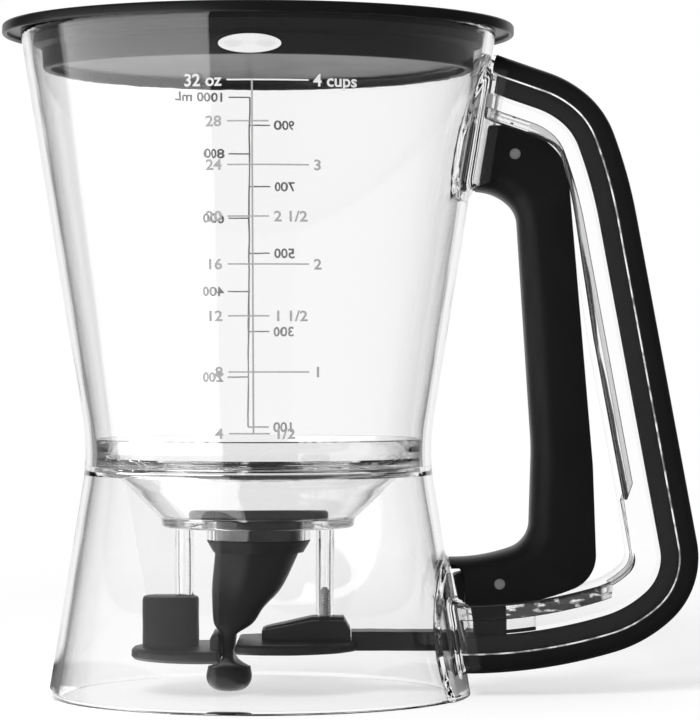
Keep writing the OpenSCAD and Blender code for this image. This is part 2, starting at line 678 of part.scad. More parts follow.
module guide_screw() {
    head_h = 1.5;
    head_low = slot_floor - free_gap / 2 - head_h;
    color(steel) union() {
        screw(right_post, head_low, head_h, shoulder_head_radius, guide_top + pilot_depth - 1);
        translate([right_post, 0, head_low + head_h - 0.1])
            cylinder(h = shoulder_top - head_low - head_h + 0.1, r = shoulder_radius, $fn = 48);
    }
}

// A slot with round ends, long enough for the slide's travel past the guide screw
module travel_slot(low, high, r) {
    for (x = [right_post - slide_travel, right_post])
        translate([x, 0, low]) cylinder(h = high - low, r = r, $fn = 48);
    translate([right_post - slide_travel, -r, low]) cube([slide_travel, 2 * r, high - low]);
}

bar_start = guide_right + free_gap;
bar_end = drive.x + 2;
bar_top = jaw_height + bar_thickness;
tang_low = 7.8;                   // how far the tang reaches back from the drive pin
tang_high = drive.y + 3.6;
tang_lobe = drive.y - 4.6;        // underside of the lobe that reaches towards the skirt
lobe_slope = 1.2;                 // how far the lobe's top slopes down towards the skirt
eye_wall = 2.9;

module slide_bar() {
    jaw_round = 1.1;
    jaw_x = jaw_face + jaw_radius - 10;
    color(hard_black) difference() {
        union() {
            // D-shaped jaw plate with a rounded nose
            difference() {
                translate([jaw_x, 0, 0]) rotate_extrude($fn = 128)
                    polygon([[0, jaw_height], [jaw_radius - 0.6, jaw_height],
                             [jaw_radius, jaw_height + 0.6], [jaw_radius, jaw_top - 0.6],
                             [jaw_radius - 0.6, jaw_top], [0, jaw_top]]);
                translate([jaw_face - 2 * far + jaw_round, -far, 0]) cube([2 * far, 2 * far, far]);
            }
            intersection() {
                union() {
                    translate([jaw_face, -far, jaw_height + jaw_round])
                        cube([jaw_round + 1, 2 * far, jaw_thickness - 2 * jaw_round]);
                    for (z = [jaw_height + jaw_round, jaw_top - jaw_round])
                        translate([jaw_face + jaw_round, far, z])
                            rotate([90, 0, 0]) cylinder(h = 2 * far, r = jaw_round, $fn = 48);
                }
                translate([jaw_x, 0, 0]) cylinder(h = far, r = jaw_radius - 0.6, $fn = 128);
            }
            // Bar out through the skirt to the trigger's hollow
            translate([bar_start, -bar_half_width, jaw_height])
                cube([bar_end - bar_start, 2 * bar_half_width, bar_thickness]);
            // Tang with the eye that the drive pin works in, and a lobe towards the skirt
            translate([drive.x - tang_low, -bar_half_width, bar_top - 1])
                cube([tang_low + 2, 2 * bar_half_width, tang_high - bar_top + 1]);
            translate([drive.x - tang_low, -bar_half_width, drive.y - 4.5])
                cube([tang_low + pin_radius + eye_wall, 2 * bar_half_width, 4.5 + tang_high - drive.y]);
            translate([0, bar_half_width, 0]) rotate([90, 0, 0]) linear_extrude(2 * bar_half_width)
                polygon([[drive.x - tang_low + 1, tang_lobe - 2],
                         [body_r(tang_lobe) + pad_thickness + 0.7, tang_lobe + 0.3],
                         [body_r(tang_high) + pad_thickness + 0.7, tang_high - lobe_slope - 0.4],
                         [body_r(tang_high) + pad_thickness + 1.3, tang_high - lobe_slope],
                         [drive.x - tang_low + 1, tang_high]]);
        }
        // Counterbored slot round the guide screw
        travel_slot(jaw_height - over, slot_floor, shoulder_head_radius + free_gap);
        travel_slot(jaw_height - over, jaw_top + over, shoulder_radius + 0.1);
        // Upright eye for the drive pin
        for (z = [-0.7, 0.7]) translate([drive.x, jaw_radius, drive.y + z])
            rotate([90, 0, 0]) cylinder(h = 2 * jaw_radius, r = pin_radius + pin_fit, $fn = 48);
        translate([drive.x - pin_radius - pin_fit, -jaw_radius, drive.y - 0.7])
            cube([2 * (pin_radius + pin_fit), 2 * jaw_radius, 1.4]);
    }
}

// Section of the frame at a flange depth and channel floor: an H, open outwards and inwards
function frame_section(depth, floor) =
    let (half = half_handle, tongue = tongue_width / 2 + seat_gap, inner = half_trigger + trigger_gap)
    [[0, half], [0, tongue], [tongue_depth + seat_gap, tongue], [tongue_depth + seat_gap, -tongue],
     [0, -tongue], [0, -half], [depth - 0.8, -half], [depth, -half + 0.8], [depth, -inner],
     [floor, -inner], [floor, inner], [depth, inner], [depth, half - 0.8], [depth - 0.8, half]];

// Slot for the slide's bar and tang through the grip's tongue and the frame's web
module bar_slot() {
    width = 2 * (bar_half_width + window_gap);
    slot_low = jaw_height - 0.4;
    slot_high = handle_low + low_depth + 3;
    translate([foot_radius - lead_in, -width / 2, slot_low])
        cube([bar_end + slide_travel + over - foot_radius + lead_in, width, slot_high - slot_low]);
}

// Section of the plate that stands behind the grip's upper end
plate_section =
    let (half = half_handle, r = grip_rounding, outer = -grip_thickness + 0.3,
         side = concat([[tongue_depth + 1, half]], arc([outer + r, half - r], r, 90, 180)))
    concat(side, mirrored(side));

// Obround pocket in one flange near the upper root, for side -1 or 1
module root_pocket(side) {
    depth = 0.8;
    radius = 0.8;
    middle = [pivot.x - 3.1, pivot.y + 12.4];
    translate([middle.x, side * (half_handle + over - depth / 2) + depth, middle.y]) rotate([90, 0, 0]) {
        for (z = [-1, 1] * (pocket_height / 2 - radius))
            translate([0, z, 0]) cylinder(h = 2 * depth, r = radius, $fn = 32);
        translate([-radius, radius - pocket_height / 2, 0])
            cube([2 * radius, pocket_height - 2 * radius, 2 * depth]);
    }
}

module handle_frame() {
    last = len(handle_route) - 1;
    color(clear_plastic) difference() {
        union() {
            skin([for (s = handle_route) [for (p = frame_section(s[3], s[4])) place(s, p)]]);
            // Plate behind the grip's upper end
            intersection() {
                skin([for (i = [last - 1:last]) [for (p = plate_section) place(handle_route[i], p)]]);
                body_solid(pad_thickness + root_plate, waist_height);
            }
            // Lug that carries the pivot pin
            translate([pivot.x, lug_half_width, pivot.y]) rotate([90, 0, 0])
                cylinder(h = 2 * lug_half_width, r = lug_radius, $fn = 64);
            translate([pivot.x - lug_radius, -lug_half_width, pivot.y])
                cube([2 * lug_radius, 2 * lug_half_width, lug_rise]);
        }
        // Ends fitted to the root pads
        body_solid(pad_thickness + seat_gap);
        bar_slot();
        for (s = [-1, 1]) root_pocket(s);
        translate([pivot.x, half_handle, pivot.y]) rotate([90, 0, 0])
            cylinder(h = handle_width, r = pin_radius + pin_fit, $fn = 48);
    }
}

// Section of the grip: a strip with rounded outer corners and a tongue
grip_section =
    let (half = half_handle, tongue = tongue_width / 2, r = grip_rounding, outer = -grip_thickness,
         side = concat([[tongue_depth, tongue - 0.6], [tongue_depth - 0.6, tongue], [0, tongue],
                        [0, half - 0.4], [-0.4, half]],
                       arc([outer + r, half - r], r, 90, 180)))
    concat(side, mirrored(side));

module handle_grip() {
    color(soft_black) difference() {
        skin([for (s = handle_route) [for (p = grip_section) place(s, p)]]);
        body_solid(pad_thickness + 3 * seat_gap);
        body_solid(pad_thickness + root_plate + seat_gap, waist_height);
        bar_slot();
    }
}

// Section of the trigger at its depth from the finger side to the back: a U with a rounded front
function trigger_section(depth) =
    let (w = half_trigger, r = trigger_rounding, t = trigger_wall,
         outer = arc([r, w - r], r, 180, 90), inner = arc([r, w - r], r - t, 180, 90, 3))
    let (outer_half = concat(outer, [[depth - 0.7, w], [depth, w - 0.7]]),
         inner_half = concat([[depth, w - t]], [for (k = [len(inner) - 1:-1:0]) inner[k]]))
    concat(outer_half, inner_half, mirrored(inner_half), mirrored(outer_half));

// A ring of the trigger's section between matching stations of its front and back lines
function trigger_ring(front, back) =
    let (a = [front[0], front[1]], b = [back[0], back[1]], depth = norm(b - a), d = (b - a) / depth)
    [for (p = trigger_section(depth)) [a.x + d.x * p.x, p.y, a.y + d.y * p.x]];

// Notch in one side wall at the lower end, for side -1 or 1
module trigger_notch(side) {
    inner = bar_half_width + 0.1;
    depth = half_handle - inner;
    middle = side * (inner + depth / 2);
    translate([notch.x, middle + depth / 2, notch.y]) rotate([90, 0, 0])
        cylinder(h = depth, r = notch_radius, $fn = 64);
    translate([notch.x - notch_radius, middle - depth / 2, notch.y - 2 * notch_radius])
        cube([2 * notch_radius, depth, 2 * notch_radius]);
}

module trigger() {
    color(soft_black) difference() {
        union() {
            skin([for (i = [0:len(front_route) - 1]) trigger_ring(front_route[i], back_route[i])]);
            // Stiffening ribs across the hollow of the straight run
            for (k = [1:trigger_ribs])
                let (t = k / (trigger_ribs + 1),
                     low = [front_route[rib_station][0], front_route[rib_station][1]],
                     high = [front_route[rib_station + 3][0], front_route[rib_station + 3][1]],
                     p = mix(low, high, t))
                for (rib = [[1.2, 4.5], [3.6, half_trigger - trigger_wall / 2]])
                    translate([p.x + rib[0], -rib[1], p.y - 0.6]) cube([10.2 - rib[0], 2 * rib[1], 1.2]);
        }
        body_solid(pad_thickness + trigger_end_gap, waist_height);
        body_solid(pad_thickness + trigger_rest_gap, -over, waist_height + over);
        for (s = [-1, 1]) trigger_notch(s);
        for (p = [pivot, drive])
            translate([p.x, half_handle, p.y]) rotate([90, 0, 0])
                cylinder(h = handle_width, r = pin_radius + 0.01, $fn = 48);
    }
}

module pin(at) {
    length = trigger_width - 0.1;
    color(steel) translate([at.x, length / 2, at.y]) rotate([90, 0, 0]) union() {
        translate([0, 0, 0.2]) cylinder(h = length - 0.4, r = pin_radius, $fn = 48);
        cylinder(h = length, r = pin_radius - 0.2, $fn = 48);
    }
}

module pivot_pin() { pin(pivot); }

module drive_pin() { pin(drive); }

// Torsion spring beside the lug: its legs bear on the frame's web and on the trigger
function coil_points(turns, steps) =
    [for (k = [0:steps])
        let (t = k / steps, a = -60 + 360 * turns * t)
        [pivot.x + spring_radius * cos(a), lug_half_width + 0.2 + spring_wire * (0.5 + turns * t * 1.02),
         pivot.y + spring_radius * sin(a)]];

// A round wire through points, as rings square to its own direction
module wire(points, r, sides = 8) {
    last = len(points) - 1;
    skin([for (i = [0:last])
        let (d = points[min(i + 1, last)] - points[max(i - 1, 0)],
             t = d / norm(d), u = cross(t, [0, 1, 0.001]), n = u / norm(u), b = cross(t, n))
        [for (k = [0:sides - 1]) points[i] + r * (cos(360 * k / sides) * n - sin(360 * k / sides) * b)]]);
}

module return_spring() {
    turns = spring_turns;
    coil = coil_points(turns, 40);
    first = coil[0];
    end = coil[len(coil) - 1];
    start_leg = first + [-7.6, 0, -4.3] * 0.5;
    color(steel) wire(concat([start_leg], coil, [end + [2.2, 0, 8.4]]), spring_wire / 2);
}

lid();
container_shell();
funnel();
valve_sleeve();
anvil_bracket();
anvil_screw();
guide_block();
guide_screw();
slide_bar();
handle_frame();
handle_grip();
trigger();
pivot_pin();
drive_pin();
return_spring();
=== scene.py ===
"""Batter dispenser: smooth pieces, finishes, printed scales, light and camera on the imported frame.

Sizes are in millimetres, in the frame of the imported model, and are turned into metres where a piece is made.
"""

import logging
import math
from collections.abc import Callable, Sequence
from dataclasses import dataclass, field
from enum import Enum
from typing import Any

import bmesh
import bpy
from mathutils import Matrix, Vector


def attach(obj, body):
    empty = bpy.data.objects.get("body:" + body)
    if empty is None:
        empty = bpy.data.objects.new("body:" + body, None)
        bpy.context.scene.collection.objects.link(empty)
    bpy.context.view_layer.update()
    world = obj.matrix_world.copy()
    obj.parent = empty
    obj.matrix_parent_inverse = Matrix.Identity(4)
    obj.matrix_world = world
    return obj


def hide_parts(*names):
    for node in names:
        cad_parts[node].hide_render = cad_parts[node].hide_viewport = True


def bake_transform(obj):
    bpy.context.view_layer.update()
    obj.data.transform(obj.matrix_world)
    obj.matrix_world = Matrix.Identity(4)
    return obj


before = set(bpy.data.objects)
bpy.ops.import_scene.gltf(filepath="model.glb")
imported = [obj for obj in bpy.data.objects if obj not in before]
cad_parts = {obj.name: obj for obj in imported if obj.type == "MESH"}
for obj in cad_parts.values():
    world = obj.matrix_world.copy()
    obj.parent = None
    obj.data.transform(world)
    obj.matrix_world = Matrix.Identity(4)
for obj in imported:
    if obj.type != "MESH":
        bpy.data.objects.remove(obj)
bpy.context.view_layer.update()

MM = 0.001
SEAT_GAP = 0.05
TINY = 1e-6
Point = tuple[float, float]
LOG = logging.getLogger("batter_dispenser")


# ---------------------------------------------------------------- numbers and outlines


def mixed(low: float, high: float, share: float) -> float:
    """Returns the number a share of the way from low to high."""
    return low + (high - low) * share


def eased(edge_0: float, edge_1: float, value: float) -> float:
    """Returns 0 before edge_0 and 1 after edge_1, with a smooth rise between them."""
    share = min(1.0, max(0.0, (value - edge_0) / (edge_1 - edge_0)))
    return share * share * (3 - 2 * share)


def spread(low: float, high: float, pitch: float) -> list[float]:
    """Returns numbers from low to high, evenly spaced at about the pitch."""
    count = max(1, round((high - low) / pitch))
    return [mixed(low, high, k / count) for k in range(count + 1)]


def arc(centre: Point, radius: float, start: float, end: float, steps: int = 8) -> list[Point]:
    """Returns points of a round from one angle to another, in degrees."""
    angles = [math.radians(mixed(start, end, k / steps)) for k in range(steps + 1)]
    return [(centre[0] + radius * math.cos(a), centre[1] + radius * math.sin(a)) for a in angles]


def flipped(points: Sequence[Point]) -> list[Point]:
    """Returns a half section's points mirrored across its middle, in the order that closes it."""
    return [(depth, -across) for depth, across in reversed(points)]


def smoothed(stops: Sequence[tuple[float, ...]], steps: int) -> list[tuple[float, ...]]:
    """Returns a smooth curve through points of any size, with some steps between each two."""
    padded = [stops[0], *stops, stops[-1]]
    made = [stops[0]]
    for a, b, c, d in zip(padded, padded[1:], padded[2:], padded[3:]):
        for k in range(1, steps + 1):
            t = k / steps
            made.append(tuple(
                0.5 * (2 * q + (r - p) * t + (2 * p - 5 * q + 4 * r - s) * t**2
                       + (3 * q - p - 3 * r + s) * t**3)
                for p, q, r, s in zip(a, b, c, d)))
    return made


def linked(name: str, data: bpy.types.ID) -> bpy.types.Object:
    """Returns a new object that is in the scene."""
    made = bpy.data.objects.new(name, data)
    bpy.context.scene.collection.objects.link(made)
    return made


def applied(holder: bpy.types.Object) -> bpy.types.Mesh:
    """Returns a new mesh of what an object shows, with its modifiers applied."""
    seen = holder.evaluated_get(bpy.context.evaluated_depsgraph_get())
    return bpy.data.meshes.new_from_object(seen)


@dataclass(frozen=True)
class BodyOutline:
    """Outer outline of the skirt and container: two cones blended at the waist."""

    foot_radius: float = 57.7
    waist_radius: float = 46.9
    waist_height: float = 67.3
    rim_radius: float = 65.5
    height: float = 182.4
    blend: float = 60.0
    wall: float = 2.8

    @property
    def skirt_slope(self) -> float:
        """How much the skirt narrows for each millimetre of height."""
        return (self.foot_radius - self.waist_radius) / self.waist_height

    @property
    def cone_slope(self) -> float:
        """How much the container widens for each millimetre of height."""
        return (self.rim_radius - self.waist_radius) / (self.height - self.waist_height)

    @property
    def blend_centre(self) -> Point:
        """Radius and height of the centre of the waist's round."""
        skirt_run = math.hypot(1, self.skirt_slope)
        cone_run = math.hypot(1, self.cone_slope)
        height = (
            self.foot_radius - self.waist_radius + self.blend * (skirt_run - cone_run)
            + self.cone_slope * self.waist_height
        ) / (self.skirt_slope + self.cone_slope)
        return self.foot_radius + self.blend * skirt_run - self.skirt_slope * height, height

    @property
    def blend_low(self) -> float:
        """Height at which the waist's round starts."""
        return self.blend_centre[1] - self.blend * self.skirt_slope / math.hypot(1, self.skirt_slope)

    @property
    def blend_high(self) -> float:
        """Height at which the waist's round ends."""
        return self.blend_centre[1] + self.blend * self.cone_slope / math.hypot(1, self.cone_slope)

    def radius(self, height: float) -> float:
        """Returns the outer radius at a height."""
        if height < self.blend_low:
            return self.foot_radius - self.skirt_slope * height
        if height > self.blend_high:
            return self.waist_radius + self.cone_slope * (height - self.waist_height)
        centre_radius, centre_height = self.blend_centre
        return centre_radius - math.sqrt(self.blend**2 - (height - centre_height) ** 2)

    def levels(self, low: float, high: float, pitch: float = 2.0) -> list[float]:
        """Returns heights between two limits, with the ends of the waist's round among them."""
        stops = [low, *[z for z in (self.blend_low, self.blend_high) if low < z < high], high]
        made = [low]
        for start, end in zip(stops, stops[1:]):
            made += spread(start, end, pitch)[1:]
        return made

    def solid(self, extra: float, low: float = -1.0, high: float = 184.0) -> "Solid":
        """Returns the body as a solid, with its surface moved out by extra."""
        side = [(self.radius(z) + extra, z) for z in self.levels(low, high)]
        return Solid.revolved([(0, low), *side, (0, high)])


BODY = BodyOutline()


@dataclass(frozen=True)
class Layout:
    """Places and sizes that more than one assembly uses."""

    pivot: Point = (70.32, 148.5)
    drive: Point = (66.1, 31.0)
    pin_radius: float = 1.5
    pin_fit: float = 0.04
    lug_half: float = 3.9
    handle_half: float = 13.0
    handle_low: float = 12.0
    channel_half: float = 10.4
    window_half: float = 6.1
    throat_radius: float = 11.8
    collar_radius: float = 14.3
    left_post: float = -20.4
    right_post: float = 18.3
    post_radius: float = 2.5
    post_depth: float = 9.0
    core_radius: float = 1.3
    socket_top: float = 27.2
    guide_top: float = 21.5
    flat_height: float = 46.2
    funnel_wall: float = 2.2
    collar_depth: float = 3.5

    @property
    def flat_top(self) -> float:
        """Height of the funnel's flat bottom, inside."""
        return self.flat_height + self.funnel_wall + 0.4

    @property
    def collar_low(self) -> float:
        """Height of the foot of the funnel's collar."""
        return self.flat_height - self.collar_depth


PLAN = Layout()


# ---------------------------------------------------------------- solids


class Joining(Enum):
    """How two solids are combined."""

    UNION = "UNION"
    DIFFERENCE = "DIFFERENCE"
    INTERSECT = "INTERSECT"


class Solid:
    """A closed mesh in millimetres that can be joined with, cut by or clipped to another."""

    def __init__(self, points: Sequence[Sequence[float]], faces: Sequence[Sequence[int]]) -> None:
        """Makes the mesh with its normals outwards.

        Args:
            points: The corners.
            faces: The corners of each face, by number.
        """
        self.mesh = bpy.data.meshes.new("solid")
        self.mesh.from_pydata([tuple(p) for p in points], [], [tuple(f) for f in faces])
        work = bmesh.new()
        work.from_mesh(self.mesh)
        bmesh.ops.recalc_face_normals(work, faces=work.faces)
        work.to_mesh(self.mesh)
        work.free()

    @classmethod
    def of_mesh(cls, mesh: bpy.types.Mesh) -> "Solid":
        """Returns a solid that holds a mesh as it is."""
        made = cls.__new__(cls)
        made.mesh = mesh
        return made

    @classmethod
    def lofted(cls, rings: Sequence[Sequence[Sequence[float]]]) -> "Solid":
        """Returns the solid between equal rings of points, with flat ends."""
        size, count = len(rings[0]), len(rings)
        faces: list[list[int]] = []
        for here in range(0, (count - 1) * size, size):
            for j in range(size):
                k = (j + 1) % size
                faces.append([here + j, here + k, here + size + k, here + size + j])
        faces += [list(range(size)), list(range((count - 1) * size, count * size))]
        return cls([p for ring in rings for p in ring], faces)

    @classmethod
    def revolved(cls, outline: Sequence[Point], segments: int = 192, centre: Point = (0, 0)) -> "Solid":
        """Returns a closed outline of (radius, height) turned round an upright axis.

        Args:
            outline: The outline's points. A point on the axis becomes one corner.
            segments: How many steps the turn has.
            centre: X and Y of the axis.

        Returns:
            The solid.
        """
        points: list[tuple[float, float, float]] = []
        rows: list[list[int]] = []
        turns = [2 * math.pi * k / segments for k in range(segments)]
        for radius, height in outline:
            first = len(points)
            if radius < TINY:
                points.append((centre[0], centre[1], height))
                rows.append([first] * segments)
            else:
                points += [
                    (centre[0] + radius * math.cos(a), centre[1] + radius * math.sin(a), height)
                    for a in turns
                ]
                rows.append(list(range(first, first + segments)))
        faces = []
        for low, high in zip(rows, [*rows[1:], rows[0]]):
            for j in range(segments):
                k = (j + 1) % segments
                face = list(dict.fromkeys([low[j], low[k], high[k], high[j]]))
                if len(face) > 2:
                    faces.append(face)
        return cls(points, faces)

    @classmethod
    def upright(cls, outline: Sequence[Point], low: float, high: float) -> "Solid":
        """Returns an outline in plan raised from one height to another."""
        return cls.lofted([[(x, y, z) for x, y in outline] for z in (low, high)])

    @classmethod
    def across(cls, outline: Sequence[Point], half: float) -> "Solid":
        """Returns a side outline of (x, z) given a half width to the front and back."""
        return cls.lofted([[(x, y, z) for x, z in outline] for y in (-half, half)])

    @classmethod
    def box(cls, low: Sequence[float], high: Sequence[float]) -> "Solid":
        """Returns a block between two corners."""
        plan = [(low[0], low[1]), (high[0], low[1]), (high[0], high[1]), (low[0], high[1])]
        return cls.upright(plan, low[2], high[2])

    @classmethod
    def pillar(cls, at: Point, radius: float, low: float, high: float, segments: int = 64) -> "Solid":
        """Returns an upright cylinder."""
        return cls.upright(arc(at, radius, 0, 360, segments)[:-1], low, high)

    @classmethod
    def crossbar(cls, at: Point, radius: float, half: float, segments: int = 64) -> "Solid":
        """Returns a cylinder that lies from front to back at (x, z)."""
        return cls.across(arc(at, radius, 0, 360, segments)[:-1], half)

    @classmethod
    def wire(cls, path: Sequence[Vector], radius: float, sides: int = 16) -> "Solid":
        """Returns a round wire along a path."""
        rings = []
        last = len(path) - 1
        for i, point in enumerate(path):
            ahead = (path[min(i + 1, last)] - path[max(i - 1, 0)]).normalized()
            first = ahead.cross(Vector((0, 1, 0.001))).normalized()
            second = ahead.cross(first)
            turns = [2 * math.pi * k / sides for k in range(sides)]
            rings.append([point + radius * (math.cos(a) * first + math.sin(a) * second) for a in turns])
        return cls.lofted(rings)

    def _joined(self, other: "Solid", how: Joining) -> "Solid":
        """Returns this solid combined with another."""
        first, second = linked("first", self.mesh), linked("second", other.mesh)
        step = first.modifiers.new("join", "BOOLEAN")
        step.operation = how.value
        step.solver = "EXACT"
        step.object = second
        mesh = applied(first)
        bpy.data.objects.remove(first)
        bpy.data.objects.remove(second)
        return Solid.of_mesh(mesh)

    def __add__(self, other: "Solid") -> "Solid":
        """Returns both solids as one."""
        return self._joined(other, Joining.UNION)

    def __sub__(self, other: "Solid") -> "Solid":
        """Returns this solid without the other."""
        return self._joined(other, Joining.DIFFERENCE)

    def __and__(self, other: "Solid") -> "Solid":
        """Returns what both solids share."""
        return self._joined(other, Joining.INTERSECT)

    def moved(self, offset: Sequence[float]) -> "Solid":
        """Returns the solid moved by an offset."""
        mesh = self.mesh.copy()
        mesh.transform(Matrix.Translation(Vector(offset)))
        return Solid.of_mesh(mesh)


# ---------------------------------------------------------------- materials


class Graph:
    """The node tree of one material or of the world."""

    def __init__(self, tree: bpy.types.NodeTree) -> None:
        """Empties the tree.

        Args:
            tree: The node tree to fill.
        """
        self.tree = tree
        tree.nodes.clear()

    def node(
        self, kind: str, settings: dict[str, Any] | None = None, inputs: dict[Any, Any] | None = None
    ) -> Any:
        """Adds a node.

        Args:
            kind: The node's type.
            settings: Its properties, set first.
            inputs: Numbers, colours, values or sockets for its inputs, by name or number.

        Returns:
            The node.
        """
        made = self.tree.nodes.new(kind)
        for name, setting in (settings or {}).items():
            setattr(made, name, setting)
        for name, value in (inputs or {}).items():
            target = made.inputs[name]
            source = value.socket if isinstance(value, Value) else value
            if isinstance(source, bpy.types.NodeSocket):
                self.tree.links.new(source, target)
            else:
                target.default_value = source
        return made

    def value(self, node: bpy.types.Node, output: str | int = 0) -> "Value":
        """Returns a node's output as a value."""
        return Value(self, node.outputs[output])

    def blend(self, share: Any, first: Any, second: Any) -> bpy.types.NodeSocket:
        """Returns a colour a share of the way from the first to the second."""
        inputs = {0: share, 6: self._colour(first), 7: self._colour(second)}
        return self.node("ShaderNodeMix", {"data_type": "RGBA"}, inputs).outputs[2]

    def greys(self, share: Any, first: float, second: float) -> bpy.types.NodeSocket:
        """Returns a grey a share of the way from the first to the second."""
        return self.blend(share, (first,) * 3, (second,) * 3)

    @staticmethod
    def _colour(value: Any) -> Any:
        """Returns a colour with its alpha, or a socket as it is."""
        return value if isinstance(value, bpy.types.NodeSocket) else (*value, 1)

    def place(self) -> bpy.types.NodeSocket:
        """Returns the surface point in the object's own frame, in metres."""
        return self.node("ShaderNodeTexCoord").outputs["Object"]

    def axes(self, source: Any = None) -> tuple["Value", "Value", "Value"]:
        """Returns the three parts of a vector, or of the surface point in millimetres."""
        vector = source or self.stretched((1 / MM, 1 / MM, 1 / MM))
        parts = self.node("ShaderNodeSeparateXYZ", None, {0: vector})
        return self.value(parts, 0), self.value(parts, 1), self.value(parts, 2)

    def stretched(self, scale: Sequence[float]) -> bpy.types.NodeSocket:
        """Returns the surface point with each axis scaled."""
        inputs = {0: self.place(), 1: tuple(scale)}
        return self.node("ShaderNodeVectorMath", {"operation": "MULTIPLY"}, inputs).outputs[0]

    def noise(self, size: float, detail: float = 2.0, where: Any = None) -> "Value":
        """Returns soft random variation.

        Args:
            size: The size of its features in millimetres.
            detail: How many finer layers it has.
            where: The point to read it at, or None for the surface point.

        Returns:
            Values round 0.5.
        """
        inputs = {"Vector": where or self.place(), "Scale": 1 / (size * MM), "Detail": detail}
        return self.value(self.node("ShaderNodeTexNoise", {"noise_dimensions": "3D"}, inputs), 0)

    def bump(self, height: "Value", depth: float) -> bpy.types.NodeSocket:
        """Returns a normal that follows a height of 0 to 1 over a depth in millimetres."""
        inputs = {"Height": height, "Distance": depth * MM, "Strength": 1.0}
        return self.node("ShaderNodeBump", None, inputs).outputs[0]

    def principled(self, **sockets: Any) -> bpy.types.NodeSocket:
        """Returns a Principled shader. Each name is a socket's, with _ for a space."""
        inputs = {name.replace("_", " "): value for name, value in sockets.items()}
        return self.node("ShaderNodeBsdfPrincipled", None, inputs).outputs[0]

    def white(self, kind: str, strength: "Value") -> bpy.types.NodeSocket:
        """Returns a white emission or background shader of a strength."""
        return self.node(kind, None, {"Color": (1, 1, 1, 1), "Strength": strength}).outputs[0]

    def surface(self, shader: bpy.types.NodeSocket) -> None:
        """Makes a shader the tree's output."""
        kind = "World" if self.tree is bpy.context.scene.world.node_tree else "Material"
        self.node(f"ShaderNodeOutput{kind}", None, {"Surface": shader})


class Value:
    """A number that varies over a surface. Arithmetic on it adds Math nodes to its tree."""

    def __init__(self, graph: Graph, socket: bpy.types.NodeSocket) -> None:
        """Wraps a socket.

        Args:
            graph: The tree that the socket is in.
            socket: The output socket that carries the number.
        """
        self.graph = graph
        self.socket = socket

    def _math(self, operation: str, *inputs: Any) -> "Value":
        """Returns the result of a Math node."""
        node = self.graph.node("ShaderNodeMath", {"operation": operation}, dict(enumerate(inputs)))
        return self.graph.value(node)

    def __add__(self, other: Any) -> "Value":
        """Returns the sum."""
        return self._math("ADD", self, other)

    __radd__ = __add__

    def __sub__(self, other: Any) -> "Value":
        """Returns this less the other."""
        return self._math("SUBTRACT", self, other)

    def __rsub__(self, other: Any) -> "Value":
        """Returns the other less this."""
        return self._math("SUBTRACT", other, self)

    def __mul__(self, other: Any) -> "Value":
        """Returns the product."""
        return self._math("MULTIPLY", self, other)

    __rmul__ = __mul__

    def __or__(self, other: Any) -> "Value":
        """Returns the larger of the two."""
        return self._math("MAXIMUM", self, other)

    def __and__(self, other: Any) -> "Value":
        """Returns the smaller of the two."""
        return self._math("MINIMUM", self, other)

    def size(self) -> "Value":
        """Returns this without its sign."""
        return self | (self * -1)

    def angle_from(self, other: Any) -> "Value":
        """Returns the angle whose sine goes with this and whose cosine goes with the other."""
        return self._math("ARCTAN2", self, other)

    def rise(self, low: float, high: float) -> "Value":
        """Returns 0 below low and 1 above high, with a smooth rise between them."""
        settings = {"interpolation_type": "SMOOTHSTEP"}
        inputs = {"Value": self, "From Min": low, "From Max": high}
        return self.graph.value(self.graph.node("ShaderNodeMapRange", settings, inputs))


def new_material(name: str) -> tuple[bpy.types.Material, Graph]:
    """Returns a new material and its empty tree."""
    material = bpy.data.materials.new(name)
    material.use_nodes = True
    return material, Graph(material.node_tree)


@dataclass(frozen=True)
class MouldedBlack:
    """Black moulded plastic or rubber with a fine spark-eroded texture."""

    name: str
    colour: float = 0.012
    roughness: float = 0.36
    uneven: float = 0.08
    grain: float = 0.35
    grain_depth: float = 0.012
    specular: float = 0.5
    patch: float = 14.0
    wipe: float = 40.0
    darkest: float = 0.8
    palest: float = 1.3

    def material(self) -> bpy.types.Material:
        """Returns the finish's material."""
        material, graph = new_material(self.name)
        broad = graph.noise(self.patch, 3)
        fine = graph.noise(self.grain, 2)
        wiped = graph.noise(self.wipe, 1, graph.stretched((1, 1, 0.25)))
        tone = graph.greys(broad, self.colour * self.darkest, self.colour * self.palest)
        rough = broad * self.uneven + wiped * (self.uneven * 0.5) + (self.roughness - self.uneven * 0.75)
        shader = graph.principled(
            Base_Color=tone, Roughness=rough, Specular_IOR_Level=self.specular,
            Normal=graph.bump(fine, self.grain_depth),
        )
        graph.surface(shader)
        return material


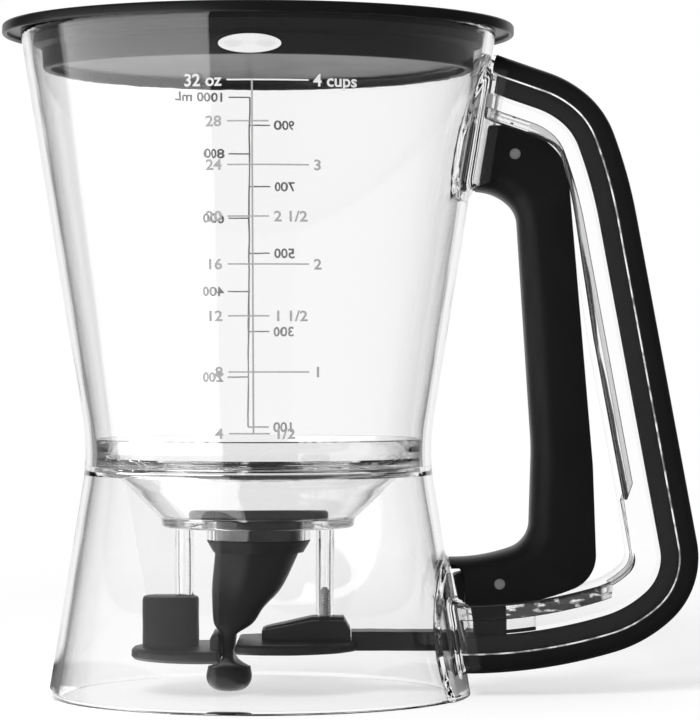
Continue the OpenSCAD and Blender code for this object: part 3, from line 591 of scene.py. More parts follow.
@dataclass(frozen=True)
class ClearPlastic:
    """Polished clear plastic, with painted shade: its colour turns grey where it is seen edge on."""

    name: str
    tint: float = 0.995
    edge_shade_painted: float = 0.42
    edge_start: float = 0.62
    ripple: float = 0.05
    refraction: float = 1.5
    polish: float = 0.005
    smudge: float = 0.03
    smudge_size: float = 9.0
    ripple_size: float = 11.0
    shadow_tint: float = 0.93

    def material(self) -> bpy.types.Material:
        """Returns the finish's material."""
        material, graph = new_material(self.name)
        # Painted shade: the colour turns grey where the surface is seen edge on.
        facing = graph.value(graph.node("ShaderNodeLayerWeight", None, {"Blend": 0.5}), "Facing")
        edge = facing.rise(self.edge_start, 1.0)
        plain = graph.greys(edge, self.tint, self.edge_shade_painted)
        smudge = graph.noise(self.smudge_size, 3).rise(0.45, 0.8)
        swirl = graph.noise(self.ripple_size, 2, graph.stretched((1, 1, 0.4)))
        tone, rough = self._with_painted_shade(graph, plain, smudge * self.smudge + self.polish)
        clear = graph.principled(
            Base_Color=tone, Roughness=rough, IOR=self.refraction, Transmission_Weight=1.0,
            Normal=graph.bump(swirl, self.ripple),
        )
        path = graph.node("ShaderNodeLightPath")
        unseen = graph.value(path, "Is Shadow Ray") | graph.value(path, "Is Diffuse Ray")
        shade = {"Color": (*(self.shadow_tint,) * 3, 1)}
        through = graph.node("ShaderNodeBsdfTransparent", None, shade).outputs[0]
        graph.surface(graph.node("ShaderNodeMixShader", None, {0: unseen, 1: clear, 2: through}).outputs[0])
        return material

    def _with_painted_shade(
        self, graph: Graph, tone: bpy.types.NodeSocket, rough: Value
    ) -> tuple[bpy.types.NodeSocket, Value]:
        """Returns the colour and roughness with the finish's painted shade, of which plain plastic has none.
        """
        return tone, rough


@dataclass(frozen=True)
class ChannelPlastic(ClearPlastic):
    """The handle frame's clear plastic, with painted shade: dark streaks painted on one inner face of its
    channel.
    """

    inner_face: float = -PLAN.channel_half
    painted_shade: float = 0.008
    painted_shade_rough: float = 0.22
    arm_start: float = 66.0
    arm_end: float = 95.0
    arm_low: float = 20.6
    arm_low_slope: float = 0.17
    arm_high: float = 23.7
    arm_high_slope: float = 0.277
    arm_soft: float = 0.3
    streak_at: Point = (89.6, 111.8)
    streak_slope: float = 0.1983
    streak_wander: float = 1.6
    streak_low: float = 40.0
    streak_wide: float = 92.0
    streak_high: float = 142.0

    def _with_painted_shade(
        self, graph: Graph, tone: bpy.types.NodeSocket, rough: Value
    ) -> tuple[bpy.types.NodeSocket, Value]:
        """Returns the colour and roughness with the channel's painted shade.

        Args:
            graph: The material's tree.
            tone: The plain colour.
            rough: The plain roughness.

        Returns:
            The colour with painted shade, and the roughness, raised where the shade is painted.
        """
        x, y, z = graph.axes()
        on_face = 1 - (y - self.inner_face).size().rise(0.04, 0.1)
        along = x - self.arm_start
        above = z - along * self.arm_low_slope - self.arm_low
        below = z - along * self.arm_high_slope - self.arm_high
        arm = above.rise(-self.arm_soft, self.arm_soft) * (1 - below.rise(-self.arm_soft, self.arm_soft))
        arm = arm * x.rise(self.arm_start, self.arm_start + 2)
        arm = arm * (1 - x.rise(self.arm_end - 1.5, self.arm_end))
        flecks = graph.noise(1.1, 4, graph.stretched((0.3, 1, 1))).rise(0.56, 0.66)
        arm = arm * (1 - flecks * 0.9)
        wander = (graph.noise(9, 3, graph.stretched((1, 1, 0.5))) - 0.5) * self.streak_wander
        start_x, start_z = self.streak_at
        across = (x - start_x - (start_z - z) * self.streak_slope + wander).size()
        painted_streak = 1 - (across - z.rise(self.streak_wide, self.streak_wide + 24)).rise(0.4, 0.7)
        painted_streak = painted_streak * z.rise(self.streak_low, self.streak_low + 4)
        painted_streak = painted_streak * (1 - z.rise(self.streak_high - 12, self.streak_high))
        # Painted shade: a dark band along the lower arm and a dark streak up the back, broken by gaps, darken
        # the colour on the channel's inner face.
        marks = (arm | painted_streak) * on_face
        return graph.blend(marks, tone, (self.painted_shade,) * 3), rough + marks * self.painted_shade_rough


@dataclass(frozen=True)
class BrightSteel:
    """Steel with fine turning marks round its axis."""

    name: str = "bright_steel"
    colour: float = 0.45
    roughness: float = 0.38
    metal: float = 0.8
    turning: float = 0.25
    turning_rough: float = 0.16
    stain: float = 2.5
    darkest: float = 0.8
    palest: float = 1.15

    def material(self) -> bpy.types.Material:
        """Returns the finish's material."""
        material, graph = new_material(self.name)
        marks = graph.noise(self.turning, 2, graph.stretched((1, 0.1, 1)))
        tone = graph.greys(graph.noise(self.stain, 2), self.colour * self.darkest, self.colour * self.palest)
        rough = marks * self.turning_rough + (self.roughness - self.turning_rough / 2)
        shader = graph.principled(
            Base_Color=tone, Metallic=self.metal, Roughness=rough, Normal=graph.bump(marks, 0.01))
        graph.surface(shader)
        return material


@dataclass(frozen=True)
class PrintedInk:
    """Matt grey pad-printing ink with slightly uneven cover."""

    name: str
    colour: float = 0.3
    uneven: float = 0.18

    def material(self) -> bpy.types.Material:
        """Returns the finish's material."""
        material, graph = new_material(self.name)
        cover = graph.noise(0.6, 3)
        tone = graph.greys(cover, self.colour * (1 - self.uneven), self.colour * (1 + self.uneven))
        graph.surface(graph.principled(Base_Color=tone, Roughness=cover * 0.2 + 0.5))
        return material


@dataclass(frozen=True)
class PaintedEdgeHighlight:
    """The clear frame's parting edge, with a painted highlight: a pale, uneven colour stands in for the glints
    of light it catches.
    """

    name: str = "edge_painted_highlight"
    dull: float = 0.2
    bright: float = 0.85

    def material(self) -> bpy.types.Material:
        """Returns the finish's material."""
        material, graph = new_material(self.name)
        painted_glint = graph.noise(3.5, 4).rise(0.38, 0.6)
        # Painted highlight: the pale patches stand in for the light that the edge catches.
        tone = graph.greys(painted_glint, self.dull, self.bright)
        grain = graph.bump(graph.noise(0.4, 2), 0.02)
        graph.surface(graph.principled(Base_Color=tone, Roughness=painted_glint * -0.2 + 0.5, Normal=grain))
        return material


class Finishes:
    """All the object's finishes, made once."""

    def __init__(self) -> None:
        """Makes the materials."""
        self.lid = MouldedBlack(
            "lid_black", colour=0.005, roughness=0.34, uneven=0.1, grain=0.4, grain_depth=0.01,
            specular=0.3).material()
        self.grip = MouldedBlack(
            "grip_black", colour=0.006, roughness=0.38, uneven=0.08, grain=0.3, grain_depth=0.01,
            specular=0.35).material()
        self.trigger = MouldedBlack(
            "trigger_black", colour=0.005, roughness=0.46, uneven=0.08, grain=0.35, grain_depth=0.02,
            specular=0.3).material()
        self.carrier = MouldedBlack(
            "carrier_black", colour=0.006, roughness=0.42, uneven=0.08, grain=0.3, grain_depth=0.01,
            specular=0.3).material()
        self.silicone = MouldedBlack(
            "silicone_black", colour=0.004, roughness=0.4, uneven=0.12, grain=0.5, grain_depth=0.015,
            specular=0.25).material()
        self.body = ClearPlastic("clear_body").material()
        self.funnel = ClearPlastic("clear_funnel", ripple=0.04).material()
        self.frame = ChannelPlastic("clear_frame", edge_shade_painted=0.3, edge_start=0.55, ripple=0.06).material()
        self.steel = BrightSteel().material()
        self.ink = PrintedInk("scale_ink", 0.3).material()
        self.back_ink = PrintedInk("back_scale_ink", 0.4).material()
        self.pale_ink = PrintedInk("pale_ink", 0.6, 0.05).material()
        # The parting edges' finish is a painted highlight.
        self.edge = PaintedEdgeHighlight().material()


@dataclass(frozen=True)
class Workshop:
    """Turns solids into dressed pieces on the frame."""

    finishes: Finishes = field(default_factory=Finishes)

    def piece(
        self, name: str, solid: Solid, finish: bpy.types.Material, body: str | None, slot: str,
        replaces: Sequence[str] = (), sharp: float = 32, bevel: float = 0.0,
    ) -> bpy.types.Object:
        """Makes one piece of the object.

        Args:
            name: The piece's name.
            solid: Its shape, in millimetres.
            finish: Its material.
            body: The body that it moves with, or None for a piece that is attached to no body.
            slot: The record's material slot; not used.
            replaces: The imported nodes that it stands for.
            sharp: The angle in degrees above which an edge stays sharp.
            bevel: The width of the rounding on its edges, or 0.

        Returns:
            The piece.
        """
        mesh = solid.mesh
        mesh.transform(Matrix.Scale(MM, 4))
        made = linked(name, mesh)
        if bevel:
            mesh = self._bevelled(made, bevel)
        mesh.materials.clear()
        mesh.materials.append(finish)
        mesh.shade_smooth()
        mesh.set_sharp_from_angle(angle=math.radians(sharp))
        for polygon in mesh.polygons:
            polygon.material_index = 0
        if body:
            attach(made, body)
        if replaces:
            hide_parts(*replaces)
        LOG.info("%s: %d faces, on %s", name, len(mesh.polygons), body or "two bodies")
        return made

    @staticmethod
    def _bevelled(made: bpy.types.Object, width: float) -> bpy.types.Mesh:
        """Rounds a piece's edges and returns its new mesh."""
        step = made.modifiers.new("rounding", "BEVEL")
        step.width = width * MM
        step.segments = 2
        step.limit_method = "ANGLE"
        step.angle_limit = math.radians(40)
        mesh = applied(made)
        made.modifiers.clear()
        made.data = mesh
        return mesh


# ---------------------------------------------------------------- container, lid and funnel


@dataclass(frozen=True)
class Pad:
    """A raised root pad of the handle, with fillets up to the handle's sides."""

    centre: float
    low: float
    fillet_low: float
    fillet_high: float
    radius: float = 27.0
    thickness: float = 0.8
    fillet: float = 5.0
    side: float = PLAN.handle_half + SEAT_GAP
    edge: float = 0.9
    ramp: float = 1.6

    def relief(self, across: float, height: float) -> float:
        """Returns how far the body stands out at a place.

        Args:
            across: The distance from the handle's middle plane.
            height: The height above the foot.

        Returns:
            The relief in millimetres.
        """
        across = abs(across)
        reach = math.hypot(across, height - self.centre)
        inside = 1 - eased(self.radius - self.edge, self.radius, reach)
        if height < self.low:
            return 0.0
        relief = self.thickness * inside
        run = across - self.side
        within = eased(self.fillet_low, self.fillet_low + self.ramp, height)
        within *= 1 - eased(self.fillet_high - self.ramp, self.fillet_high, height)
        if 0 <= run < self.fillet and within > 0:
            rise = self.fillet - math.sqrt(self.fillet**2 - (self.fillet - run) ** 2)
            relief += rise * inside * within
        return relief


@dataclass(frozen=True)
class Container:
    """The clear container and skirt, its lid, and the funnel inside it."""

    shop: Workshop
    patch: float = 30.0
    around: int = 190
    window_low: float = 11.8
    window_high: float = 18.2
    edge_round: float = 0.5
    handle_top: float = 170.4
    ledge_width: float = 1.9
    ledge_height: float = 1.8
    lid_radius: float = 70.4
    lid_flange: float = 2.4
    lid_lip: float = 1.4
    lid_lip_drop: float = 1.3
    lid_edge_drop: float = 0.7
    lid_edge_slope: float = 9.0
    plug_depth: float = 11.0
    plug_wall: float = 2.4
    plug_gap: float = 1.6
    plug_floor: float = 2.2
    plug_floor_rise: float = 2.5
    bead_gap: float = 0.3
    bead_drop: float = 1.8
    bead_height: float = 2.6
    funnel_band: float = 7.6
    rim_gap: float = 0.15
    flat_radius: float = 26.0
    core_roof: float = 1.0
    gusset_wall: float = 1.4

    @property
    def ledge_top(self) -> float:
        """Height of the ledge that carries the funnel."""
        return BODY.blend_low + 5.3

    @property
    def funnel_top(self) -> float:
        """Height of the funnel's rim."""
        return self.ledge_top + SEAT_GAP + self.funnel_band

    def build(self) -> None:
        """Builds the shell, the lid and the funnel."""
        self.build_shell()
        self.build_lid()
        self.build_funnel()

    def _pads(self) -> list[Pad]:
        """Returns the handle's two root pads."""
        upper, low = self.handle_top + 5 - Pad.radius, PLAN.handle_low
        return [
            Pad(centre=upper, low=upper - 10, fillet_low=upper - 9.5, fillet_high=self.handle_top + 4),
            Pad(centre=low, low=0, fillet_low=low - 5.5, fillet_high=low + 15),
        ]

    def _columns(self) -> list[tuple[str, float]]:
        """Returns the shell's columns: by distance across near the handle, by share of the turn elsewhere."""
        side, reach = Pad.side, Pad.side + Pad.fillet
        right = [PLAN.window_half, side - 0.08, side, reach, self.patch]
        stops = [*[-y for y in reversed(right)], *right]
        pitches = [0.8, 0.42, 0.1, 1.2, 1.6, 1.2, 0.1, 0.42, 0.8]
        across = [stops[0]]
        for low, high, pitch in zip(stops, stops[1:], pitches):
            across += spread(low, high, pitch)[1:]
        return [("across", y) for y in across] + [("turn", k / self.around) for k in range(1, self.around)]

    def _rows(self) -> list[tuple[float, bool, float]]:
        """Returns the shell's rows, up the outside and down the inside, as height, outside and inset."""
        r = self.edge_round
        stops = [
            (r, 6.5, 1.0), (6.5, self.window_low, 0.6), (self.window_low, self.window_high, 0.9),
            (self.window_high, 40, 0.7), (40, BODY.blend_low, 1.6), (BODY.blend_low, BODY.blend_high, 1.2),
            (BODY.blend_high, 120, 2.4), (120, 138.4, 1.8), (138.4, 177, 0.7), (177, BODY.height - r, 1.0),
        ]
        levels = [r]
        for low, high, pitch in stops:
            levels += spread(low, high, pitch)[1:]
        outside = [(z, True, 0.0) for z in levels]
        top = [(BODY.height - r * 0.3, True, r * 0.3), (BODY.height, True, r)]
        foot = [(0, True, r), (r * 0.3, True, r * 0.3)]
        ledge = self.ledge_top
        low_side = ledge - self.ledge_height
        bump = [(ledge, 0.0), (ledge, 0.7), (ledge - 0.1, self.ledge_width - 0.2),
                (ledge - 0.3, self.ledge_width), (low_side + 0.6, self.ledge_width), (low_side - 0.8, 0.0)]
        inside = [(z, False, 0.0) for z in reversed(levels) if not low_side - 1.6 < z < ledge + 0.8]
        inside += [(z, False, inset) for z, inset in bump]
        inside.sort(key=lambda row: -row[0])
        ends = [(BODY.height, False, -r), (BODY.height - r * 0.3, False, -r * 0.3)]
        last = [(r * 0.3, False, -r * 0.3), (0, False, -r)]
        return [*foot, *outside, *top, *ends, *inside, *last]

    def _shell_point(
        self, column: tuple[str, float], row: tuple[float, bool, float]
    ) -> tuple[float, float, float]:
        """Returns the shell's surface point at a column and a row."""
        kind, place = column
        height, outside, inset = row
        radius = BODY.radius(height) - inset - (0 if outside else BODY.wall)
        if kind == "across":
            if outside:
                radius += max(pad.relief(place, height) for pad in self._pads())
            return math.sqrt(radius**2 - place**2), place, height
        start = math.asin(self.patch / radius)
        turn = mixed(start, 2 * math.pi - start, place)
        return radius * math.cos(turn), radius * math.sin(turn), height

    def build_shell(self) -> None:
        """Builds the container, skirt, ledge, root pads and the slide's window as one closed grid."""
        columns = self._columns()
        rows = self._rows()
        points = [self._shell_point(c, r) for r in rows for c in columns]
        width = len(columns)
        faces = []
        for i, row in enumerate(rows):
            for j, column in enumerate(columns):
                k, n = (j + 1) % width, (i + 1) % len(rows)
                sides = (column, columns[k])
                if all(self._beside_window(side) for side in sides) and all(
                        self._level_with_window(height) for height in (row[0], rows[n][0])):
                    continue
                faces.append([i * width + j, i * width + k, n * width + k, n * width + j])
        faces += self._window_walls(columns, rows)
        self.shop.piece(
            "container_wall", Solid(points, faces), self.shop.finishes.body, "dispenser", "clear_body",
            ["container_shell"], sharp=40,
        )

    @staticmethod
    def _beside_window(column: tuple[str, float]) -> bool:
        """Returns True if a column of the shell runs through the slide's window or along its side."""
        kind, across = column
        return kind == "across" and abs(across) < PLAN.window_half + TINY

    def _level_with_window(self, height: float) -> bool:
        """Returns True if a height is within the slide's window or at its edge."""
        return self.window_low - TINY < height < self.window_high + TINY

    def _window_walls(
        self, columns: Sequence[tuple[str, float]], rows: Sequence[tuple[float, bool, float]]
    ) -> list[list[int]]:
        """Returns the faces that line the slide's window, from the outside to the inside."""
        width = len(columns)
        held = [j for j, column in enumerate(columns) if self._beside_window(column)]
        inside_of = {round(z, 6): i for i, (z, out, _) in enumerate(rows) if not out}
        outside = [
            (i, inside_of[round(z, 6)]) for i, (z, out, _) in enumerate(rows)
            if out and self._level_with_window(z)
        ]
        faces = []
        for j in (held[0], held[-1]):
            for (a, a_in), (b, b_in) in zip(outside, outside[1:]):
                faces.append([a * width + j, b * width + j, b_in * width + j, a_in * width + j])
        for i, i_in in (outside[0], outside[-1]):
            for j, k in zip(held, held[1:]):
                faces.append([i * width + j, i * width + k, i_in * width + k, i_in * width + j])
        return faces

    def build_lid(self) -> None:
        """Builds the lid: a flange with a downturned lip, and a plug with a sealing bead."""
        seat = BODY.height + 0.1
        low = BODY.height - self.plug_depth
        bead_high = BODY.height - self.bead_drop
        bead_low = bead_high - self.bead_height
        bead = BODY.radius(bead_low) - BODY.wall - self.bead_gap
        plug = BODY.radius(low) - BODY.wall - self.plug_gap
        bore = plug - self.plug_wall
        edge = (self.lid_flange - self.lid_edge_drop) / 2
        lip = self.lid_lip / 2
        lip_centre = seat - self.lid_lip_drop + lip
        floor = low + self.plug_floor_rise
        top = seat + self.lid_flange
        outline = [
            (0, floor), *arc((bore - 0.8, floor - 0.8), 0.8, 90, 0, 4), (bore, low + 0.4), (bore + 0.4, low),
            (plug - 0.8, low), *arc((plug - 0.7, low + 0.7), 0.7, -90, 0, 4), (plug + 0.12, bead_low - 1.2),
            (bead, bead_low), (bead + 0.1, bead_high), (plug + 0.46, seat - 0.3), (plug + 0.5, seat),
            (self.lid_radius - self.lid_lip, seat), (self.lid_radius - self.lid_lip, lip_centre),
            *arc((self.lid_radius - lip, lip_centre), lip, 180, 360, 8),
            *arc((self.lid_radius - edge, seat + edge), edge, 0, 90, 8),
            (self.lid_radius - self.lid_edge_slope, top), (bore + 0.9, top),
            *arc((bore + 0.9, top - 0.9), 0.9, 90, 180, 6), (bore, floor + self.plug_floor + 1),
            *arc((bore - 1, floor + self.plug_floor + 1), 1, 0, -90, 6), (0, floor + self.plug_floor),
        ]
        solid = Solid.revolved(outline, 256)
        self.shop.piece("lid_cap", solid, self.shop.finishes.lid, "lid", "lid_black", ["lid"], sharp=40)

    def _bowl_face(self, inset: float) -> list[Point]:
        """Returns the bowl's section at an inset from its outer face."""
        top = self.ledge_top
        return [
            (BODY.radius(top) - BODY.wall - self.ledge_width - 0.5 - inset, top + inset * 0.4),
            (40.2 - inset, top - 1.6 + inset * 0.6), (35.9 - inset * 0.8, top - 5.3 + inset * 0.6),
            (32.7 - inset * 0.8, top - 8.8 + inset * 0.6),
            (self.flat_radius + 0.7 - inset * 0.8, PLAN.flat_top - 0.2 + inset * 0.2),
        ]

    def build_funnel(self) -> None:
        """Builds the funnel: rim band, bowl, collar, two posts and their gussets."""
        neck = BODY.blend_centre[1]
        rim = BODY.radius(neck) - BODY.wall - self.rim_gap
        top = BODY.radius(self.funnel_top) - BODY.wall - self.rim_gap
        flat, wall = PLAN.flat_height, PLAN.funnel_wall
        outline = [
            (top - 0.3, self.funnel_top), (top, self.funnel_top - 0.3), (rim, neck),
            (rim, self.ledge_top + SEAT_GAP), *smoothed(self._bowl_face(0), 4),
            *arc((self.flat_radius - 0.4, flat + 0.9), 0.9, 0, -90, 4),
            (PLAN.collar_radius, flat), (PLAN.collar_radius, PLAN.collar_low),
            (PLAN.throat_radius, PLAN.collar_low), (PLAN.throat_radius, PLAN.flat_top),
            (self.flat_radius - 2, PLAN.flat_top), *reversed(smoothed(self._bowl_face(wall), 4)),
            (rim - wall, self.ledge_top + 2.4), (top - 1.2, self.funnel_top),
        ]
        solid = Solid.revolved(outline, 224)
        left_foot, right_foot = PLAN.socket_top - PLAN.post_depth, PLAN.guide_top + SEAT_GAP
        posts = [((PLAN.left_post, 0), left_foot), ((PLAN.right_post, 0), right_foot)]
        left, right = (Solid.pillar(at, PLAN.post_radius, foot, flat + 1.2) for at, foot in posts)
        carriers = left + right
        for side in self._gussets():
            carriers = carriers + Solid.across(side, self.gusset_wall / 2)
        for at, foot in posts:
            carriers = carriers - Solid.pillar(at, PLAN.core_radius, foot - 1, flat - self.core_roof, 48)
        clear = self.shop.finishes.funnel
        self.shop.piece(
            "funnel_bowl", solid + carriers, clear, "dispenser", "clear_funnel", ["funnel"], sharp=36)

    def _gussets(self) -> tuple[list[Point], list[Point]]:
        """Returns the side outlines of the ribs beside the left and the right post."""
        left_low, right_low = PLAN.socket_top + 0.4, PLAN.guide_top + 0.4
        high, flat = self.ledge_top - 4.6, PLAN.flat_top - 1.2
        return (
            [(-22.5, left_low), (-31, left_low), (-36.6, high), (-33, high), (-26, flat), (-22.5, flat)],
            [(20.4, right_low), (25, right_low), (35.2, high - 0.8), (32, high - 0.8), (26, flat),
             (20.4, flat)],
        )


# ---------------------------------------------------------------- handle


@dataclass(frozen=True)
class Run:
    """One stretch of a route: straight when bend is 0, and otherwise an arc of that radius."""

    bend: float
    amount: float
    steps: int
    carried: Point = (0.0, 0.0)

    def part(self, share: float) -> "Run":
        """Returns the first share of the run."""
        return Run(self.bend, self.amount * share, 1)

    def end(self, at: Point, heading: float) -> Point:
        """Returns where the run ends if it starts at a point on a heading."""
        a = math.radians(heading)
        if self.bend == 0:
            return at[0] + self.amount * math.cos(a), at[1] + self.amount * math.sin(a)
        b = math.radians(heading + self.amount)
        return (
            at[0] + self.bend * (math.sin(b) - math.sin(a)),
            at[1] + self.bend * (math.cos(a) - math.cos(b)),
        )

    def turned(self, heading: float) -> float:
        """Returns the heading at the run's end."""
        return heading + (self.amount if self.bend else 0)


@dataclass(frozen=True)
class Station:
    """A place on a route."""

    x: float
    z: float
    heading: float
    depth: float
    floor: float

    def place(self, section: Sequence[Point]) -> list[tuple[float, float, float]]:
        """Returns a section of (depth, across) set square to the route, with depth to its left."""
        a = math.radians(self.heading)
        return [(self.x - math.sin(a) * d, y, self.z + math.cos(a) * d) for d, y in section]


def route(
    runs: Sequence[Run], at: Point, heading: float, carried: Point = (0, 0), finer: int = 1
) -> list[Station]:
    """Returns the stations of a route.

    Args:
        runs: Its stretches.
        at: Where it starts, as (x, z).
        heading: Its first heading, in degrees.
        carried: The two numbers that it carries, at its start.
        finer: How many stations each step of a run becomes.

    Returns:
        The stations, from the start to the end.
    """
    made = [Station(*at, heading, *carried)]
    for run in runs:
        count = run.steps * finer
        for k in range(1, count + 1):
            part = run.part(k / count)
            values = [mixed(a, b, k / count) for a, b in zip(carried, run.carried)]
            made.append(Station(*part.end(at, heading), part.turned(heading), *values))
        at, heading, carried = run.end(at, heading), run.turned(heading), run.carried
    return made


@dataclass(frozen=True)
class Handle:
    """The looped handle: a clear H-section frame with a soft grip along its outer side."""

    shop: Workshop
    drop: float = 12.0
    lead_in: float = 12.0
    rim_lead: float = 30.0
    channel_floor: float = 9.0
    filled_floor: float = 11.8
    low_depth: float = 13.2
    back_depth: float = 12.4
    bend_depth: float = 10.3
    top_depth: float = 12.4
    grip: float = 5.48
    grip_round: float = 3.6
    tongue_half: float = 9.0
    tongue_depth: float = 4.9
    corner_round: float = 0.45
    flange_round: float = 0.9
    slot_end: float = 76.1
    lug_radius: float = 4.3
    root_plate: float = 0.9
    pocket_height: float = 5.6
    pocket_radius: float = 0.8

    @property
    def start(self) -> Point:
        """Where the outer line starts, inside the skirt."""
        return BODY.foot_radius - 0.9 - self.lead_in, PLAN.handle_low

    def _arms(self) -> list[Run]:
        """Returns the runs of the lower arm, the corner and the upper arm, without the back's rise."""
        channel, filled, depth = self.channel_floor, self.filled_floor, self.low_depth
        return [
            Run(0, self.lead_in, 1, (depth, channel)), Run(138, 16.5, 5, (depth, channel)),
            Run(33.5, 8, 2, (depth, channel)), Run(33.5, 4, 2, (depth, filled)),
            Run(33.5, 14.5, 3, (depth, filled)), Run(17.75, 57.5, 9, (self.back_depth + 0.5, filled)),
            Run(128, 10, 2, (self.bend_depth, channel)), Run(20.7, 31.5, 5, (self.top_depth - 0.6, channel)),
            Run(26.6, 19, 3, (self.top_depth, channel)),
        ]

    def stations(self) -> list[Station]:
        """Returns the stations of the handle's outer line, from the skirt round to the container."""
        arms = self._arms()
        back = 6
        back_heading = sum(run.amount for run in arms[:back] if run.bend)
        top_heading = back_heading + sum(run.amount for run in arms[back:])
        at, heading = self.start, 0.0
        for run in arms:
            at, heading = run.end(at, heading), run.turned(heading)
        top = BODY.height - self.drop
        slack = BODY.radius(top) - at[0]
        slope = math.tan(math.radians(top_heading))
        rise = top - at[1] - slope * slack
        a = math.radians(back_heading)
        length = rise / (math.sin(a) - slope * math.cos(a))
        channel, filled, depth = self.channel_floor, self.filled_floor, self.back_depth
        straight = [
            Run(0, 14, 1, (depth, filled)), Run(0, 5, 1, (depth, channel)),
            Run(0, length * 0.66 - 19, 2, (depth, channel)),
            Run(0, length * 0.34, 2, ((depth + self.bend_depth) / 2, channel)),
        ]
        runs = [*arms[:back], *straight, *arms[back:], Run(0, self.rim_lead, 1, (self.top_depth, channel))]
        return route(runs, self.start, 0, (self.low_depth, channel), 4)

    def frame_section(self, station: Station) -> list[Point]:
        """Returns the frame's H section at a station, with small rounds on its outer corners."""
        half, tongue, inner = PLAN.handle_half, self.tongue_half + SEAT_GAP, PLAN.channel_half
        depth, r, e = station.depth, self.flange_round, self.corner_round
        floor, groove = min(station.floor, depth - 0.3), self.tongue_depth + SEAT_GAP
        return [
            (0, tongue), (groove, tongue), (groove, -tongue), (0, -tongue),
            *arc((e, -half + e), e, 180, 270, 3), (e + 0.15, -half), (depth - r - 0.15, -half),
            *arc((depth - r, -half + r), r, -90, 0, 4), (depth, -inner - 0.3), (depth - 0.3, -inner),
            (floor + 0.2, -inner), (floor, -inner + 0.3), (floor, inner - 0.3), (floor + 0.2, inner),
            (depth - 0.3, inner), (depth, inner + 0.3), *arc((depth - r, half - r), r, 0, 90, 4),
            (depth - r - 0.15, half), (e + 0.15, half), *arc((e, half - e), e, 90, 180, 3),
        ]

    def grip_section(self) -> list[Point]:
        """Returns the grip's section: a strip with rounded outer corners and a tongue."""
        half, r, outer = PLAN.handle_half, self.grip_round, -self.grip
        side = [
            (self.tongue_depth, self.tongue_half - 0.6), (self.tongue_depth - 0.6, self.tongue_half),
            (0, self.tongue_half), (0, half - 0.5), (-0.5, half), *arc((outer + r, half - r), r, 90, 180, 10),
        ]
        return [*side, *flipped(side)]

    def edge_section(self, side: int) -> list[Point]:
        """Returns the section of the frame's parting edge, beside the grip on side -1 or 1."""
        h = PLAN.handle_half
        upper = [(-0.25, h - 0.18), (-0.2, h - 0.08), (0.2, h - 0.02), (0.2, h - 0.3), (0.02, h - 0.45)]
        return upper if side > 0 else flipped(upper)

    def _slot(self) -> Solid:
        """Returns the cut through which the slide's bar and tang pass."""
        half, low = PLAN.window_half, PLAN.handle_low
        return Solid.box((BODY.foot_radius - 14, -half, low), (self.slot_end, half, low + self.low_depth + 3))

    def _upper_body(self, extra: float) -> Solid:
        """Returns the container above the waist, with its surface moved out by extra."""
        return BODY.solid(extra, BODY.waist_height)

    def _root_plate(self, stations: Sequence[Station]) -> Solid:
        """Returns the frame's plate behind the grip's upper end."""
        half, r, outer = PLAN.handle_half, self.grip_round, -self.grip + 0.3
        side = [(self.tongue_depth + 1, half), *arc((outer + r, half - r), r, 90, 180, 10)]
        plate = Solid.lofted([s.place([*side, *flipped(side)]) for s in (stations[-5], stations[-1])])
        return plate & self._upper_body(Pad.thickness + self.root_plate)

    def _pocket(self, side: int) -> Solid:
        """Returns the obround pocket in the flange on side -1 or 1."""
        x, z, r = PLAN.pivot[0] - 3.1, PLAN.pivot[1] + 12.4, self.pocket_radius
        reach = self.pocket_height / 2 - r
        outline = [*arc((x, z + reach), r, 0, 180, 12), *arc((x, z - reach), r, 180, 360, 12)]
        return Solid.across(outline, 1.0).moved((0, side * (PLAN.handle_half + 0.2), 0))

    def build(self) -> None:
        """Builds the frame with its pin lug, and the grip."""
        stations = self.stations()
        body = BODY.solid(Pad.thickness + SEAT_GAP)
        solid = Solid.lofted([s.place(self.frame_section(s)) for s in stations])
        (x, z), r, half = PLAN.pivot, self.lug_radius, PLAN.lug_half
        lug = Solid.crossbar(PLAN.pivot, r, half)
        lug = lug + Solid.box((x - r, -half, z), (x + r, half, z + 11.4))
        solid = solid + lug + self._root_plate(stations) - body - self._slot()
        for side in (-1, 1):
            solid = solid - self._pocket(side)
        solid = solid - Solid.crossbar(PLAN.pivot, PLAN.pin_radius + PLAN.pin_fit, PLAN.handle_half + 1, 48)
        finishes = self.shop.finishes
        self.shop.piece(
            "handle_clear_frame", solid, finishes.frame, "dispenser", "clear_frame", ["handle_frame"],
            sharp=30)
        room = BODY.solid(Pad.thickness + 3 * SEAT_GAP)
        room = room + self._upper_body(Pad.thickness + self.root_plate + SEAT_GAP)
        # The parting edges beside the grip are real strips; their pale finish is a painted highlight.
        for name, side in (("front", -1), ("back", 1)):
            edge = Solid.lofted([s.place(self.edge_section(side)) for s in stations])
            self.shop.piece(
                f"handle_frame_edge_{name}", edge - room, finishes.edge, "dispenser", "clear_frame", sharp=60)
        grip = Solid.lofted([s.place(self.grip_section()) for s in stations]) - room - self._slot()
        self.shop.piece(
            "handle_soft_grip", grip, finishes.grip, "dispenser", "grip_black", ["handle_grip"], sharp=30)


# ---------------------------------------------------------------- trigger


